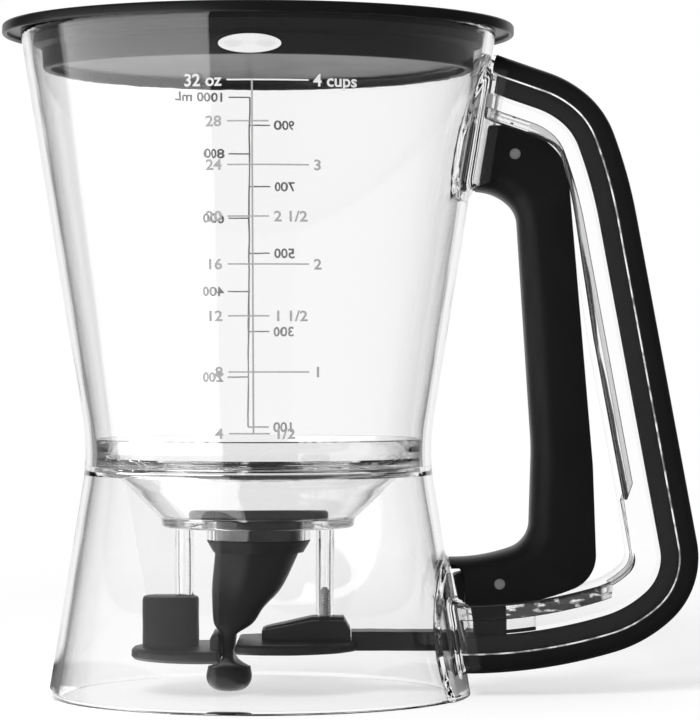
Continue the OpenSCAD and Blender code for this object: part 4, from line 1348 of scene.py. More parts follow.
@dataclass(frozen=True)
class Trigger:
    """The trigger: a hollow black lever on a pivot pin, with a drive pin at its lower end."""

    shop: Workshop
    half: float = 10.0
    wall: float = 2.3
    rounding: float = 6.5
    ribs: int = 4
    pin_press: float = 0.01
    end_gap: float = 1.7
    rest_gap: float = 1.15
    lead: float = 3.0
    notch: Point = (51.6, 31.6)
    notch_radius: float = 5.0
    notch_start: float = 5.6
    rib_station: int = 15
    front_heading: float = 0.9
    back_heading: float = -2.5
    spring_wire: float = 0.9
    spring_radius: float = 2.6
    spring_turns: float = 2.6
    spring_start: float = -60.0
    spring_steps: int = 90

    def _front_runs(self, rise: float) -> list[Run]:
        """Returns the runs of the finger side's line."""
        return [
            Run(0, self.lead, 1), Run(47, 18.5, 4), Run(7.9, 68.8, 8), Run(0, 17.6, 1), Run(60.2, 5.5, 1),
            Run(0, rise, 3), Run(7.7, 41.3, 6), Run(13.1, 37.2, 4), Run(0, 3, 1),
        ]

    def _back_runs(self, rise: float) -> list[Run]:
        """Returns the runs of the back's line."""
        return [
            Run(0, self.lead, 1), Run(71.2, 24, 4), Run(9.9, 70.5, 8), Run(0, 22.8, 1), Run(59.4, 2.8, 1),
            Run(0, rise, 3), Run(15, 52.4, 6), Run(26, 43.8, 4), Run(0, 3, 1),
        ]

    @staticmethod
    def _rise(runs: Callable[[float], list[Run]], at: Point, heading: float, top: float) -> float:
        """Returns the length of a line's straight part that brings its end to a height."""
        straight = heading
        for run in runs(0)[:5]:
            straight = run.turned(straight)
        end = route(runs(0), at, heading)[-1]
        return (top - end.z) / math.sin(math.radians(straight))

    def lines(self, finer: int) -> tuple[list[Station], list[Station]]:
        """Returns matching stations of the finger side and of the back."""
        lead = Run(0, -self.lead, 1)
        front_at = lead.end((PLAN.drive[0] - 11.6, PLAN.drive[1] + 6.8), self.front_heading)
        back_at = lead.end((PLAN.drive[0] - 9.1, PLAN.drive[1] - 6.3), self.back_heading)
        front_rise = self._rise(self._front_runs, front_at, self.front_heading, PLAN.pivot[1] - 9.6)
        back_rise = self._rise(self._back_runs, back_at, self.back_heading, PLAN.pivot[1] + 6.9)
        return (
            route(self._front_runs(front_rise), front_at, self.front_heading, finer=finer),
            route(self._back_runs(back_rise), back_at, self.back_heading, finer=finer),
        )

    def _section(self, depth: float) -> list[Point]:
        """Returns the trigger's U section at a depth from the finger side to the back."""
        w, r, t = self.half, self.rounding, self.wall
        outer = [*arc((r, w - r), r, 180, 90, 12), (depth - 0.6, w), (depth - 0.2, w - 0.2), (depth, w - 0.6)]
        inner = [(depth, w - t + 0.3), (depth - 0.3, w - t), *arc((r, w - r), r - t, 90, 180, 8)]
        half = [*outer, *inner]
        return [*half, *flipped(half)]

    def _ring(self, front: Station, back: Station) -> list[tuple[float, float, float]]:
        """Returns the section between matching places on the two lines."""
        depth = math.dist((front.x, front.z), (back.x, back.z))
        ahead = ((back.x - front.x) / depth, (back.z - front.z) / depth)
        return [(front.x + ahead[0] * d, y, front.z + ahead[1] * d) for d, y in self._section(depth)]

    def build(self) -> None:
        """Builds the lever, its two pins and the return spring."""
        front, back = self.lines(4)
        solid = Solid.lofted([self._ring(a, b) for a, b in zip(front, back)])
        solid = solid + self._stiffeners()
        solid = solid - BODY.solid(self.end_gap, BODY.waist_height)
        solid = solid - BODY.solid(self.rest_gap, high=BODY.waist_height + 1)
        for side in (-1, 1):
            solid = solid - self._notch(side)
        for at in (PLAN.pivot, PLAN.drive):
            solid = solid - Solid.crossbar(at, PLAN.pin_radius + self.pin_press, self.half + 3, 48)
        black = self.shop.finishes.trigger
        self.shop.piece("trigger_lever", solid, black, "trigger", "trigger_black", ["trigger"], sharp=30)
        for name, at in (("pivot_pin", PLAN.pivot), ("drive_pin", PLAN.drive)):
            self._pin(name, at)
        self._spring()

    def _notch(self, side: int) -> Solid:
        """Returns the notch in the side wall on side -1 or 1, through which the slide's lobe shows."""
        (x, z), r = self.notch, self.notch_radius
        outline = [(x - r, z - 2 * r), (x + r, z - 2 * r), *arc((x, z), r, 0, 180, 24)]
        half = (self.half + 1 - self.notch_start) / 2
        return Solid.across(outline, half).moved((0, side * (self.notch_start + half), 0))

    def _stiffeners(self) -> Solid:
        """Returns the ribs across the hollow of the straight run."""
        coarse = self.lines(1)[0]
        low, high = coarse[self.rib_station], coarse[self.rib_station + 3]
        made: Solid | None = None
        for k in range(1, self.ribs + 1):
            share = k / (self.ribs + 1)
            x, z = mixed(low.x, high.x, share), mixed(low.z, high.z, share)
            for inset, half in ((1.2, 4.5), (3.6, self.half - self.wall / 2)):
                rib = Solid.box((x + inset, -half, z - 0.6), (x + 10.2, half, z + 0.6))
                made = rib if made is None else made + rib
        return made

    def _pin(self, name: str, at: Point) -> None:
        """Builds one steel pin with turned-down ends."""
        half, r = self.half - 0.05, PLAN.pin_radius
        solid = Solid.crossbar(at, r, half - 0.2, 48) + Solid.crossbar(at, r - 0.2, half, 48)
        steel = self.shop.finishes.steel
        self.shop.piece(f"{name}_steel", solid, steel, "trigger", "steel", [name], sharp=30)

    def _spring(self) -> None:
        """Builds the torsion spring that lies beside the lug."""
        (x, z), r = PLAN.pivot, self.spring_radius
        coil = []
        for k in range(self.spring_steps + 1):
            turned = self.spring_turns * k / self.spring_steps
            a = math.radians(self.spring_start + 360 * turned)
            side = PLAN.lug_half + 0.2 + self.spring_wire * (0.5 + turned * 1.02)
            coil.append(Vector((x + r * math.cos(a), side, z + r * math.sin(a))))
        path = [coil[0] + Vector((-3.8, 0, -2.15)), *coil, coil[-1] + Vector((2.2, 0, 8.4))]
        solid, steel = Solid.wire(path, self.spring_wire / 2), self.shop.finishes.steel
        self.shop.piece(
            "trigger_return_spring", solid, steel, "dispenser", "steel", ["return_spring"], sharp=60)


# ---------------------------------------------------------------- valve


@dataclass(frozen=True)
class Valve:
    """The pinch valve under the funnel: sleeve, anvil bracket, guide block, slide and screws."""

    shop: Workshop
    sleeve_wall: float = 1.8
    lip_radius: float = 19.2
    lip_height: float = 3.9
    flange_height: float = 3.4
    neck_offset: float = -8.1
    neck_height: float = 13.6
    neck_width: float = 20.0
    bulb_radius: float = 6.3
    outlet: float = 0.9
    anvil_radius: float = 21.0
    anvil_reach: float = 35.0
    anvil_bar: float = 2.7
    anvil_bar_height: float = 4.0
    socket_radius: float = 7.8
    guide_lead: float = 17.2
    guide_length: float = 24.3
    jaw_radius: float = 22.0
    jaw_height: float = 12.4
    jaw_thickness: float = 2.6
    bar_half: float = 5.5
    bar_thickness: float = 5.2
    travel: float = 7.0
    sleeve_blend: Point = (36.0, 18.0)

    @property
    def flange_bottom(self) -> float:
        """Height of the underside of the sleeve's flange."""
        return PLAN.collar_low - 0.1 - self.flange_height

    @property
    def plate_top(self) -> float:
        """Height of the top of the anvil bracket's plate."""
        return self.neck_height - 0.4

    @property
    def plate_bottom(self) -> float:
        """Height of the underside of the anvil bracket's plate."""
        return self.plate_top - 3.2

    @property
    def anvil_face(self) -> float:
        """Where the anvil bar's face stands."""
        return self.neck_offset - self.sleeve_wall - 0.3

    @property
    def jaw_face(self) -> float:
        """Where the slide's rounded nose stands."""
        return self.neck_offset + self.sleeve_wall + 0.3

    def build(self) -> None:
        """Builds the pieces of the valve."""
        self.build_sleeve()
        self.build_anvil()
        self.build_guide()
        self.build_slide()
        self.build_screws()

    @staticmethod
    def _ring(x: float, z: float, half: float, width: float) -> list[tuple[float, float, float]]:
        """Returns a level ring of two half rounds set apart, which is a circle when width is 2 * half."""
        apart, count = width / 2 - half, 64
        made = []
        for k in range(count):
            a = math.radians(360 * (k + 0.5) / count - 180)
            side = apart if math.sin(a) > 0 else -apart
            made.append((x + half * math.cos(a), half * math.sin(a) + side, z))
        return made

    @staticmethod
    def _disc(centre: float, radius: float, low: float, high: float, bevel: float) -> Solid:
        """Returns a level disc with bevelled edges."""
        outline = [
            (0, low), (radius - bevel, low), (radius, low + bevel), (radius, high - bevel),
            (radius - bevel, high), (0, high),
        ]
        return Solid.revolved(outline, 160, (centre, 0))

    def build_sleeve(self) -> None:
        """Builds the silicone sleeve: lip, flange, body drawn over to the pinched neck, and outlet bulb."""
        top = PLAN.throat_radius - 0.1
        bore = top - self.sleeve_wall
        neck, wall, width = self.neck_offset, self.sleeve_wall, self.neck_width
        bulb_top = self.outlet + 8.4
        straight = self.plate_bottom - 0.1
        seat, lip = PLAN.flat_top + SEAT_GAP, self.lip_radius
        lip_top = seat + self.lip_height
        outer_stops = [
            (neck, bulb_top - 1.8, self.bulb_radius - 0.5, 2 * self.bulb_radius - 1),
            (neck, straight, wall, width), (neck, self.neck_height + 1.8, wall, width),
            (neck + 0.3, self.neck_height + 3.6, wall + 0.3, width), (-6.8, 19.8, 5.2, width),
            (-5.6, 24, 7.1, width - 1), (-3.1, 29.7, 9.7, width - 0.6),
            (-0.4, self.flange_bottom + 0.2, top - 0.1, 2 * top - 0.2),
        ]
        solid = Solid.lofted([self._ring(*ring) for ring in smoothed(outer_stops, 6)])
        flange, flange_low = PLAN.collar_radius, self.flange_bottom
        flange_top = flange_low + self.flange_height
        collar = [
            (0, flange_low), (flange - 1.8, flange_low), (flange, flange_top - 0.3),
            (flange - 0.2, flange_top), (top, flange_top), (top, seat), (lip - 0.5, seat), (lip, seat + 0.5),
            *arc((lip - 1, lip_top - 1), 1, 0, 90, 4), (0, lip_top),
        ]
        solid = solid + Solid.revolved(collar, 128)
        mouth, bulb_round = self.outlet, 4.1
        bulb = [
            (0, mouth), *arc((self.bulb_radius - bulb_round, mouth + bulb_round), bulb_round, -90, 0, 10),
            (self.bulb_radius, mouth + 4.6), (self.bulb_radius - 0.4, mouth + 6.8), (0, mouth + 6.8),
        ]
        solid = solid + Solid.revolved(bulb, 96, (neck, 0))
        hollow = [
            (0, flange_low), (bore, flange_low), (bore, lip_top - 1.4), (lip - 1.6, lip_top + 0.6),
            (0, lip_top + 0.6),
        ]
        solid = solid - Solid.revolved(hollow, 128)
        inner_stops = [
            (neck + 0.3, self.neck_height + 3.8, 0.3, width - 2 * wall),
            (-5.6, 24, 7.1 - wall, width - 1 - 2 * wall), (-3.1, 29.7, 9.7 - wall, width - 0.6 - 2 * wall),
            (0, flange_low + 0.1, bore - 0.1, 2 * bore - 0.2),
        ]
        solid = solid - Solid.lofted([self._ring(*ring) for ring in inner_stops])
        spout = [(0, mouth - 1), (2.6, mouth - 1), (3.8, mouth + 5.6), (0, mouth + 5.6)]
        solid = solid - Solid.revolved(spout, 64, (neck, 0))
        rubber = self.shop.finishes.silicone
        made = self.shop.piece("silicone_sleeve", solid, rubber, None, "silicone", ["valve_sleeve"], sharp=40)
        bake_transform(made)

    def build_anvil(self) -> None:
        """Builds the anvil bracket: D plate, post socket and the bar that the neck is pinched against."""
        low, high, r = self.plate_bottom, self.plate_top, self.anvil_radius
        plate = self._disc(r - self.anvil_reach, r, low, high, 0.8)
        plate = plate - Solid.box((self.anvil_face, -30, 0), (self.anvil_face + 60, 30, 30))
        rim, socket_top = self.socket_radius, PLAN.socket_top
        outline = [
            (0, high - 0.2), (rim, high - 0.2), (rim, socket_top - 1), (rim - 0.3, socket_top - 0.3),
            (rim - 1, socket_top), (0, socket_top),
        ]
        socket = Solid.revolved(outline, 96, (PLAN.left_post - 3.8, 0))
        half = self.neck_width / 2 + 1.5
        bar_r = self.anvil_bar / 2
        bar_z = high + self.anvil_bar_height - bar_r
        left = self.anvil_face - self.anvil_bar
        foot = [(left, high - 0.2), (self.anvil_face, high - 0.2)]
        bar = Solid.across([*foot, *arc((left + bar_r, bar_z), bar_r, 0, 180, 16)], half)
        post = (PLAN.left_post, 0)
        solid = plate + socket + bar
        bore = socket_top - PLAN.post_depth - SEAT_GAP
        solid = solid - Solid.pillar(post, PLAN.post_radius + SEAT_GAP, bore, socket_top + 1)
        solid = solid - Solid.pillar(post, PLAN.core_radius, low - 1, socket_top, 32)
        solid = solid - Solid.pillar(post, 3.0, low - 1, low + 1.8, 48)
        self.shop.piece(
            "anvil_bracket_moulding", solid, self.shop.finishes.carrier, "dispenser", "carrier_black",
            ["anvil_bracket"], bevel=0.2)

    def build_guide(self) -> None:
        """Builds the guide block that the slide runs under."""
        left, high = PLAN.right_post - self.guide_lead, PLAN.guide_top
        low = self.jaw_height + self.jaw_thickness + 0.3
        right, toe, shoulder = left + self.guide_length, 3.3, 13.8
        solid = Solid.across(
            [(left, low), (left, low + toe - 0.6), (left + shoulder, high - 0.8), (right - 1.6, high - 0.8),
             (right, high - 3.4), (right, low)], 8)
        wedge = Solid.across(
            [(left + 0.8, low + 1), (left + 0.8, low + toe), (left + shoulder, high), (right - 1.9, high),
             (right - 1.9, low + 1)], 4.5)
        post = (PLAN.right_post, 0)
        solid = solid + wedge + Solid.pillar(post, 3.6, low + 1, high)
        solid = solid - Solid.pillar(post, PLAN.core_radius, low - 1, high + 1, 32)
        self.shop.piece(
            "guide_block_moulding", solid, self.shop.finishes.carrier, "dispenser", "carrier_black",
            ["guide_block"], bevel=0.2)

    def _travel_slot(self, low: float, high: float, radius: float) -> Solid:
        """Returns a round-ended slot, as long as the slide's travel."""
        x = PLAN.right_post
        plan = [*arc((x, 0), radius, -90, 90, 16), *arc((x - self.travel, 0), radius, 90, 270, 16)]
        return Solid.upright(plan, low, high)

    def build_slide(self) -> None:
        """Builds the slide: D jaw plate, bar, tang with the pin's eye, and the lobe towards the skirt."""
        low, high, r = self.jaw_height, self.jaw_height + self.jaw_thickness, self.jaw_radius
        nose = 1.1
        plate = self._disc(self.jaw_face + r - 10, r, low, high, 0.6)
        face = [
            (self.jaw_face + 60, low), *reversed(arc((self.jaw_face + nose, low + nose), nose, 180, 270, 8)),
            *reversed(arc((self.jaw_face + nose, high - nose), nose, 90, 180, 8)), (self.jaw_face + 60, high),
        ]
        plate = plate & Solid.across(face, 40)
        bar_start = PLAN.right_post - self.guide_lead + self.guide_length + 0.3
        x, z = PLAN.drive
        bar_top = low + self.bar_thickness
        back = x - 7.8
        top = z + 3.6
        lobe = z - 4.6
        skirt_low, skirt_high = BODY.radius(lobe) + 1.5, BODY.radius(top) + 1.5
        eye = 4.4
        slope = 1.2
        side = [
            (bar_start, low), (x + 2, low), (x + 2, z - 4.5), (x + eye, z - 4.5), (x + eye, top - 1.2),
            (x + eye - 1.2, top), (x - 6.8, top), (skirt_high + 0.6, top - slope),
            (skirt_high, top - slope - 0.4), (skirt_low, lobe + 0.3), (back + 1, lobe - 2),
            (back, lobe - 2.6), (back, bar_top), (bar_start, bar_top),
        ]
        solid = plate + Solid.across(side, self.bar_half)
        solid = solid - self._travel_slot(low - 1, low + 0.9, 3.8)
        solid = solid - self._travel_slot(low - 1, high + 1, 2.1)
        hole = PLAN.pin_radius + PLAN.pin_fit
        eye_plan = [*arc((x, z + 0.7), hole, 0, 180, 16), *arc((x, z - 0.7), hole, 180, 360, 16)]
        solid = solid - Solid.across(eye_plan, 20)
        black = self.shop.finishes.carrier
        self.shop.piece("slide_bar_moulding", solid, black, "slide", "slide_black", ["slide_bar"], bevel=0.2)

    def _screw(
        self, name: str, x: float, low: float, head: float, radius: float, top: float, shoulder: float
    ) -> None:
        """Builds one screw, head down, with a cross recess.

        Args:
            name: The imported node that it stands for.
            x: Where its axis is.
            low: Height of the head's underside.
            head: The head's height.
            radius: The head's radius.
            top: Height of the shank's end.
            shoulder: Height to which a wider shoulder reaches, or 0.
        """
        shank = 1.25
        outline = [
            (0, low), (radius - 0.4, low), (radius, low + 0.4), (radius, low + head),
            *([(2.0, low + head), (2.0, shoulder)] if shoulder else []),
            (shank, shoulder or low + head),
        ]
        pitch = 0.8
        z = shoulder or low + head
        while z + pitch < top - 1:
            outline += [(shank, z + pitch * 0.35), (shank - 0.22, z + pitch * 0.7), (shank, z + pitch)]
            z += pitch
        outline += [(shank, top - 1), (shank - 0.6, top), (0, top)]
        solid = Solid.revolved(outline, 48, (x, 0))
        for wide, deep in ((radius * 0.6, 0.3), (0.3, radius * 0.6)):
            solid = solid - Solid.box((x - wide, -deep, low - 1), (x + wide, deep, low + 1.1))
        self.shop.piece(f"{name}_steel", solid, self.shop.finishes.steel, "dispenser", "steel", [name])

    def build_screws(self) -> None:
        """Builds the screws that hold the anvil bracket and the guide block to the posts."""
        self._screw(
            "anvil_screw", PLAN.left_post, low=self.plate_bottom + 0.15, head=1.6, radius=2.8,
            top=PLAN.socket_top - 1, shoulder=0)
        self._screw(
            "guide_screw", PLAN.right_post, low=self.jaw_height - 0.75, head=1.5, radius=3.5, top=29.5,
            shoulder=self.jaw_height + self.jaw_thickness + 0.25)


# ---------------------------------------------------------------- printed scales


@dataclass(frozen=True)
class Mark:
    """One graduation: its height, its label, and the label on the line's other side, if any."""

    height: float
    label: str
    other: str = ""


class Facing(Enum):
    """Which side of the container a scale is printed on, as the sign of Y there."""

    FRONT = -1
    BACK = 1


@dataclass(frozen=True)
class Scales:
    """The ounce and cup scale in front and the millilitre scale at the back."""

    shop: Workshop
    ink_lift: float = 0.04
    ink_depth: float = 0.03
    line: float = 0.5
    heading: float = 4.35
    figure: float = 3.8
    figure_spread: float = 1.12
    figure_weight: float = 0.09
    figure_middle: float = 0.345
    tick_weight: float = 0.8
    label_gap: float = 1.2
    badge_steps: int = 64
    badge_centre: Point = (-0.55, 173.65)
    badge_half: Point = (8.15, 2.45)
    tick_start: float = -6.5
    long_tick: float = 14.6
    short_tick: float = 4.3
    oz_edge: float = -7.9
    back_line: float = -4.4
    back_tick: float = 6.3
    front: tuple[Mark, ...] = (
        Mark(164.39, "32 oz", "4 cups"), Mark(153.89, "28"), Mark(142.73, "24", "3"),
        Mark(129.49, "20", "2 1/2"), Mark(117.14, "16", "2"), Mark(103.7, "12", "1 1/2"),
        Mark(89.07, "8", "1"), Mark(72.91, "4", "1/2"),
    )
    back: tuple[Mark, ...] = (
        Mark(169.46, "1000 mL"), Mark(161.11, "900"), Mark(152.66, "800"), Mark(142.99, "700"),
        Mark(133.65, "600"), Mark(123.34, "500"), Mark(112.15, "400"), Mark(100.48, "300"),
        Mark(87.25, "200"), Mark(72.76, "100"),
    )

    def build(self) -> None:
        """Prints both scales."""
        self._print_front()
        self._print_back()

    @staticmethod
    def _on_wall(facing: Facing, across: float, height: float, lift: float) -> tuple[float, float, float]:
        """Returns the point of the wall at a distance across and a height."""
        radius = BODY.radius(height) + lift
        return across, facing.value * math.sqrt(radius**2 - across**2), height

    def _wrapped(self, mesh: bpy.types.Mesh, facing: Facing) -> None:
        """Wraps a flat print, drawn in X and Y with its lift in Z, on the wall."""
        for vertex in mesh.vertices:
            x, height, depth = vertex.co
            lift = self.ink_lift + (self.ink_depth if depth > 0 else 0)
            vertex.co = self._on_wall(facing, x, height, lift)
        if facing is Facing.BACK:
            mesh.flip_normals()

    @staticmethod
    def _bars(bars: Sequence[tuple[float, float, float, float]]) -> tuple[list, list]:
        """Returns the points and faces of thin bars, cut across so that they follow the wall."""
        points: list[tuple[float, float, float]] = []
        faces: list[list[int]] = []
        for low_x, low_z, high_x, high_z in bars:
            xs, zs = spread(low_x, high_x, 1.5), spread(low_z, high_z, 3)
            first = len(points)
            for depth in (0.0, 1.0):
                points += [(x, z, depth) for z in zs for x in xs]
            wide, tall = len(xs), len(zs)
            layer = wide * tall
            for i in range(tall - 1):
                for j in range(wide - 1):
                    a = first + i * wide + j
                    faces.append([a + layer, a + 1 + layer, a + wide + 1 + layer, a + wide + layer])
                    faces.append([a, a + wide, a + wide + 1, a + 1])
            rim = [first + j for j in range(wide)]
            rim += [first + i * wide + wide - 1 for i in range(1, tall)]
            rim += [first + (tall - 1) * wide + j for j in range(wide - 2, -1, -1)]
            rim += [first + i * wide for i in range(tall - 2, 0, -1)]
            faces += [[a, b, b + layer, a + layer] for a, b in zip(rim, [*rim[1:], rim[0]])]
        return points, faces

    def _lettering(self, words: str, size: float, align: str) -> bpy.types.Mesh:
        """Returns a word as a thin flat mesh with its foot line at zero."""
        curve = bpy.data.curves.new("words", "FONT")
        curve.body = words
        curve.size = size
        curve.align_x = align
        curve.resolution_u = 3
        curve.extrude = 0.5
        curve.offset = self.figure_weight
        holder = linked("words", curve)
        mesh = applied(holder)
        bpy.data.objects.remove(holder)
        return mesh

    def _printed(
        self, name: str, bars: Sequence[tuple[float, float, float, float]],
        words: Sequence[tuple[str, float, float, str]], facing: Facing, ink: bpy.types.Material,
        size: float, stretch: float,
    ) -> None:
        """Prints one scale.

        Args:
            name: The piece's name.
            bars: The line and ticks, each as low X, low height, high X and high height.
            words: Each label's text, X, height of its middle and alignment.
            facing: The side that it is printed on.
            ink: Its material.
            size: The letters' size.
            stretch: How much wider than drawn they are.
        """
        work = bmesh.new()
        points, faces = self._bars(bars)
        flat = bpy.data.meshes.new("bars")
        flat.from_pydata(points, [], faces)
        work.from_mesh(flat)
        for text, x, height, align in words:
            mesh = self._lettering(text, size, align)
            sign = 1 if facing is Facing.FRONT else -1
            for vertex in mesh.vertices:
                vertex.co.x = x + sign * stretch * vertex.co.x
                vertex.co.y += height - size * self.figure_middle
            if facing is Facing.BACK:
                mesh.flip_normals()
            work.from_mesh(mesh)
        made = bpy.data.meshes.new(name)
        work.to_mesh(made)
        work.free()
        self._wrapped(made, facing)
        self.shop.piece(name, Solid.of_mesh(made), ink, "dispenser", "clear_body", sharp=20)

    def _print_front(self) -> None:
        """Prints the ounce and cup scale."""
        t, thin = self.line / 2, self.line / 2 * self.tick_weight
        low, high = self.front[-1].height, self.front[0].height
        bars = [(-t, low, t, high)]
        words = []
        for mark in self.front:
            whole = mark.other and "/" not in mark.other
            reach = self.long_tick if whole else self.short_tick
            bars.append((self.tick_start, mark.height - thin, reach, mark.height + thin))
            words.append((mark.label, self.oz_edge, mark.height, "RIGHT"))
            if mark.other:
                words.append((mark.other, reach + self.label_gap, mark.height, "LEFT"))
            if mark is self.front[0]:
                pale = self.shop.finishes.pale_ink
                self._printed("top_graduation", bars[1:], words, Facing.FRONT, pale, self.heading, 1.0)
                bars, words = bars[:1], []
        ink = self.shop.finishes.ink
        self._printed("ounce_and_cup_scale", bars, words, Facing.FRONT, ink, self.figure, self.figure_spread)
        self._print_badge()

    def _print_badge(self) -> None:
        """Prints the bare oval badge above the scale."""
        (x, z), (wide, high), count = self.badge_centre, self.badge_half, self.badge_steps
        turns = [2 * math.pi * k / count for k in range(count)]
        rim = [(x + wide * math.cos(a), z + high * math.sin(a)) for a in turns]
        points = [(px, pz, depth) for depth in (0.0, 1.0) for px, pz in [*rim, (x, z)]]
        faces = []
        layer = count + 1
        for k in range(count):
            n = (k + 1) % count
            faces += [[k, n, count], [layer + k, layer + count, layer + n], [k, layer + k, layer + n, n]]
        mesh = bpy.data.meshes.new("badge")
        mesh.from_pydata(points, [], faces)
        self._wrapped(mesh, Facing.FRONT)
        solid = Solid.of_mesh(mesh)
        self.shop.piece("oval_badge", solid, self.shop.finishes.pale_ink, "dispenser", "clear_body", sharp=20)

    def _print_back(self) -> None:
        """Prints the millilitre scale, which is read from the other side."""
        t, thin, x = self.line / 2, self.line / 2 * self.tick_weight, self.back_line
        bars = [(x - t, self.back[-1].height, x + t, self.back[0].height)]
        words = []
        for count, mark in enumerate(self.back):
            left = count % 2 == 0
            low_x, high_x = (x - self.back_tick, x) if left else (x, x + self.back_tick)
            bars.append((low_x, mark.height - thin, high_x, mark.height + thin))
            place = low_x - self.label_gap if left else high_x + self.label_gap
            words.append((mark.label, place, mark.height, "LEFT" if left else "RIGHT"))
        ink = self.shop.finishes.back_ink
        self._printed("millilitre_scale", bars, words, Facing.BACK, ink, self.figure, self.figure_spread)


# ---------------------------------------------------------------- light and camera


@dataclass(frozen=True)
class Paths:
    """How a ray came to the surroundings: direct, mirrored and scattered add up to one."""

    direct: Value
    mirrored: Value
    scattered: Value
    within: Value

    @classmethod
    def of(cls, graph: Graph) -> "Paths":
        """Returns the weights for a tree: seen or seen through, reflected, and scattered."""
        path = graph.node("ShaderNodeLightPath")
        scattered = graph.value(path, "Diffuse Depth") & 1
        mirrored = (graph.value(path, "Glossy Depth") & 1) * (1 - scattered)
        within = graph.value(path, "Transmission Depth") & 1
        return cls((1 - scattered) * (1 - mirrored), mirrored, scattered, within)


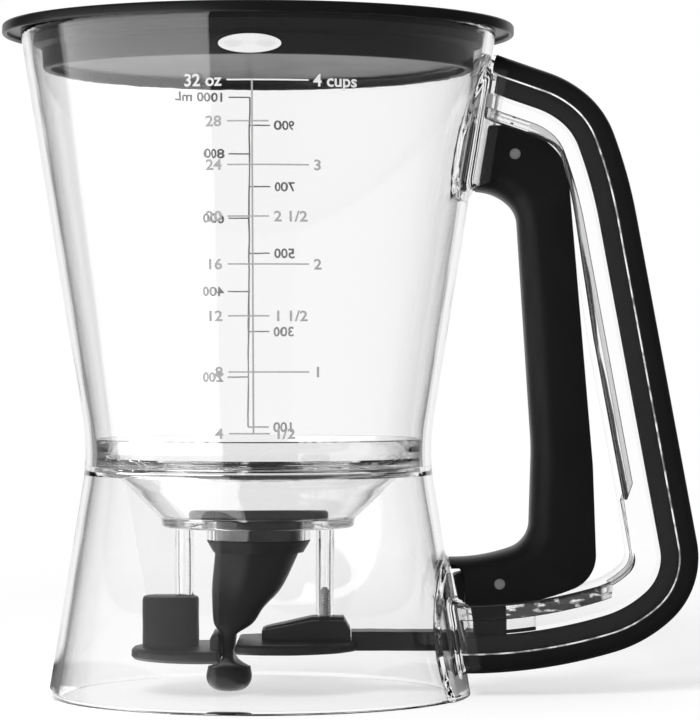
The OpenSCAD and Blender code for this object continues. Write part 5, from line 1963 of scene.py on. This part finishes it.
@dataclass(frozen=True)
class Studio:
    """A plain pale floor, soft light and the camera."""

    camera_at: tuple[float, float, float] = (25.25, -925.0, 92.2)
    lens: float = 167.6
    sensor: float = 36.0
    ambient: float = 0.45
    softbox: float = 0.5
    softbox_low: float = 2.4
    softbox_start: float = 22.0
    softbox_end: float = 108.0
    softbox_edge: float = 0.5
    backdrop_start: float = 146.0
    ceiling_start: float = 0.35
    ceiling_end: float = 0.8
    ceiling_dim: float = 0.7
    ceiling_through_dim: float = 0.4
    dim: float = 0.04
    dim_within: float = 0.28
    through_dim: float = 0.45
    through_gain: float = 1.06
    through_start: float = 60.0
    through_end: float = 100.0
    floor_tone: float = 0.95
    floor_glow: float = 0.5
    floor_lift: float = 0.18
    floor_near: float = 0.25
    floor_far: float = 0.8
    lamp_power: float = 24.0
    lamp_size: float = 0.6
    lamp_at: tuple[float, float, float] = (-0.35, -1.35, 1.05)
    lamp_aim: tuple[float, float, float] = (0.02, 0.0, 0.09)
    bounces: int = 32

    def build(self) -> None:
        """Sets the colour management, the world, the floor, the lamp and the camera."""
        bpy.context.scene.view_settings.view_transform = "Standard"
        self._let_light_through()
        self._world()
        self._floor()
        self._lamp()
        self._camera()

    def _let_light_through(self) -> None:
        """Lets light cross all the walls of the clear pieces, and turn about inside them."""
        cycles = bpy.context.scene.cycles
        cycles.max_bounces = self.bounces
        cycles.transmission_bounces = self.bounces
        cycles.glossy_bounces = self.bounces // 2
        cycles.transparent_max_bounces = self.bounces

    @staticmethod
    def _turn(x: Value, y: Value) -> Value:
        """Returns the angle from the front, in degrees, positive on the left."""
        return (x * -1).angle_from(y * -1) * (180 / math.pi)

    def _reflected(self, turn: Value, softbox: float, paths: Paths) -> Value:
        """Returns what reflections show: a soft light on the left and the white backdrop behind.

        Args:
            turn: The angle from the front.
            softbox: The strength of the soft light.
            paths: How the ray came here. Reflections within the clear pieces are never quite dark.

        Returns:
            The strength at that angle.
        """
        edge = self.softbox_edge
        light = turn.rise(self.softbox_start - edge, self.softbox_start + edge)
        light = light * (1 - turn.rise(self.softbox_end - 2, self.softbox_end + 2)) * softbox
        backdrop = turn.size().rise(self.backdrop_start - 3, self.backdrop_start + 3)
        return light | backdrop | (paths.within * (self.dim_within - self.dim) + self.dim)

    def _world(self) -> None:
        """Lights the object evenly, with a white backdrop behind it."""
        world = bpy.data.worlds.new("studio")
        bpy.context.scene.world = world
        world.use_nodes = True
        graph = Graph(world.node_tree)
        x, y, z = graph.axes(graph.node("ShaderNodeTexCoord").outputs["Generated"])
        turn = self._turn(x, y)
        raised = z.rise(self.ceiling_start, self.ceiling_end)
        paths = Paths.of(graph)
        glossy = self._reflected(turn, self.softbox, paths) * (1 - raised * self.ceiling_dim)
        through = turn.size().rise(self.through_start, self.through_end) | self.through_dim
        through = through * (1 - raised * self.ceiling_through_dim) * self.through_gain
        seen = graph.value(graph.node("ShaderNodeLightPath"), "Is Camera Ray")
        strength = seen | (paths.direct * through + paths.mirrored * glossy + paths.scattered * self.ambient)
        graph.surface(graph.white("ShaderNodeBackground", strength))

    def _floor(self) -> None:
        """Builds a pale floor that runs up into a backdrop, and keeps the object's shadow."""
        wide, front, back, bend, high, below = 3.0, -2.2, 2.0, 0.8, 3.0, 0.00002
        side = [(front, 0.0), *arc((back - bend, bend), bend, -90, 0, 24), (back, high)]
        points = [(x, y, z - below) for y, z in side for x in (-wide, wide)]
        faces = [[2 * i, 2 * i + 1, 2 * i + 3, 2 * i + 2] for i in range(len(side) - 1)]
        mesh = bpy.data.meshes.new("floor")
        mesh.from_pydata(points, [], faces)
        mesh.shade_smooth()
        linked("floor", mesh)
        mesh.materials.append(self._floor_finish())

    def _floor_finish(self) -> bpy.types.Material:
        """Returns the floor's material: white where it is seen, and the studio's pattern in reflections."""
        material, graph = new_material("pale_floor")
        mottle = graph.noise(60, 3)
        tone = graph.greys(mottle, self.floor_tone * 0.99, self.floor_tone * 1.01)
        lit = graph.principled(Base_Color=tone, Roughness=0.9, Specular_IOR_Level=0.1)
        x, y, _ = graph.axes(graph.place())
        paths = Paths.of(graph)
        pattern = self._reflected(self._turn(x, y), self.softbox_low, paths)
        far = (x * x + y * y).rise(self.floor_near**2, self.floor_far**2)
        plain = 1 + (1 - far) * self.floor_lift + paths.within * (self.through_gain - 1)
        strength = paths.mirrored * pattern + (1 - paths.mirrored) * plain
        glow = graph.white("ShaderNodeEmission", strength)
        share = paths.direct * (far * (1 - self.floor_glow) + self.floor_glow) + paths.mirrored
        graph.surface(graph.node("ShaderNodeMixShader", None, {0: share, 1: lit, 2: glow}).outputs[0])
        return material

    def _lamp(self) -> None:
        """Adds a soft lamp in front, above and to the left."""
        data = bpy.data.lights.new("soft_lamp", "AREA")
        data.shape = "RECTANGLE"
        data.size, data.size_y = self.lamp_size, self.lamp_size
        data.energy = self.lamp_power
        lamp = linked("soft_lamp", data)
        lamp.location = self.lamp_at
        lamp.rotation_mode = "QUATERNION"
        lamp.rotation_quaternion = (Vector(self.lamp_aim) - lamp.location).to_track_quat("-Z", "Y")
        lamp.visible_glossy = False
        lamp.visible_transmission = False

    def _camera(self) -> None:
        """Adds the camera, level and square to the handle's plane."""
        data = bpy.data.cameras.new("camera")
        data.lens = self.lens
        data.sensor_width = self.sensor
        data.clip_start, data.clip_end = 0.01, 50
        camera = linked("camera", data)
        camera.location = [value * MM for value in self.camera_at]
        camera.rotation_euler = (math.radians(90), 0, 0)
        bpy.context.scene.camera = camera


def main() -> None:
    """Builds the studio and every piece of the dispenser."""
    logging.basicConfig(level=logging.INFO, format="%(message)s")
    Studio().build()
    shop = Workshop()
    for assembly in (Container(shop), Handle(shop), Trigger(shop), Valve(shop), Scales(shop)):
        assembly.build()
        LOG.info("built %s", type(assembly).__name__)


if __name__ == "__main__":
    main()
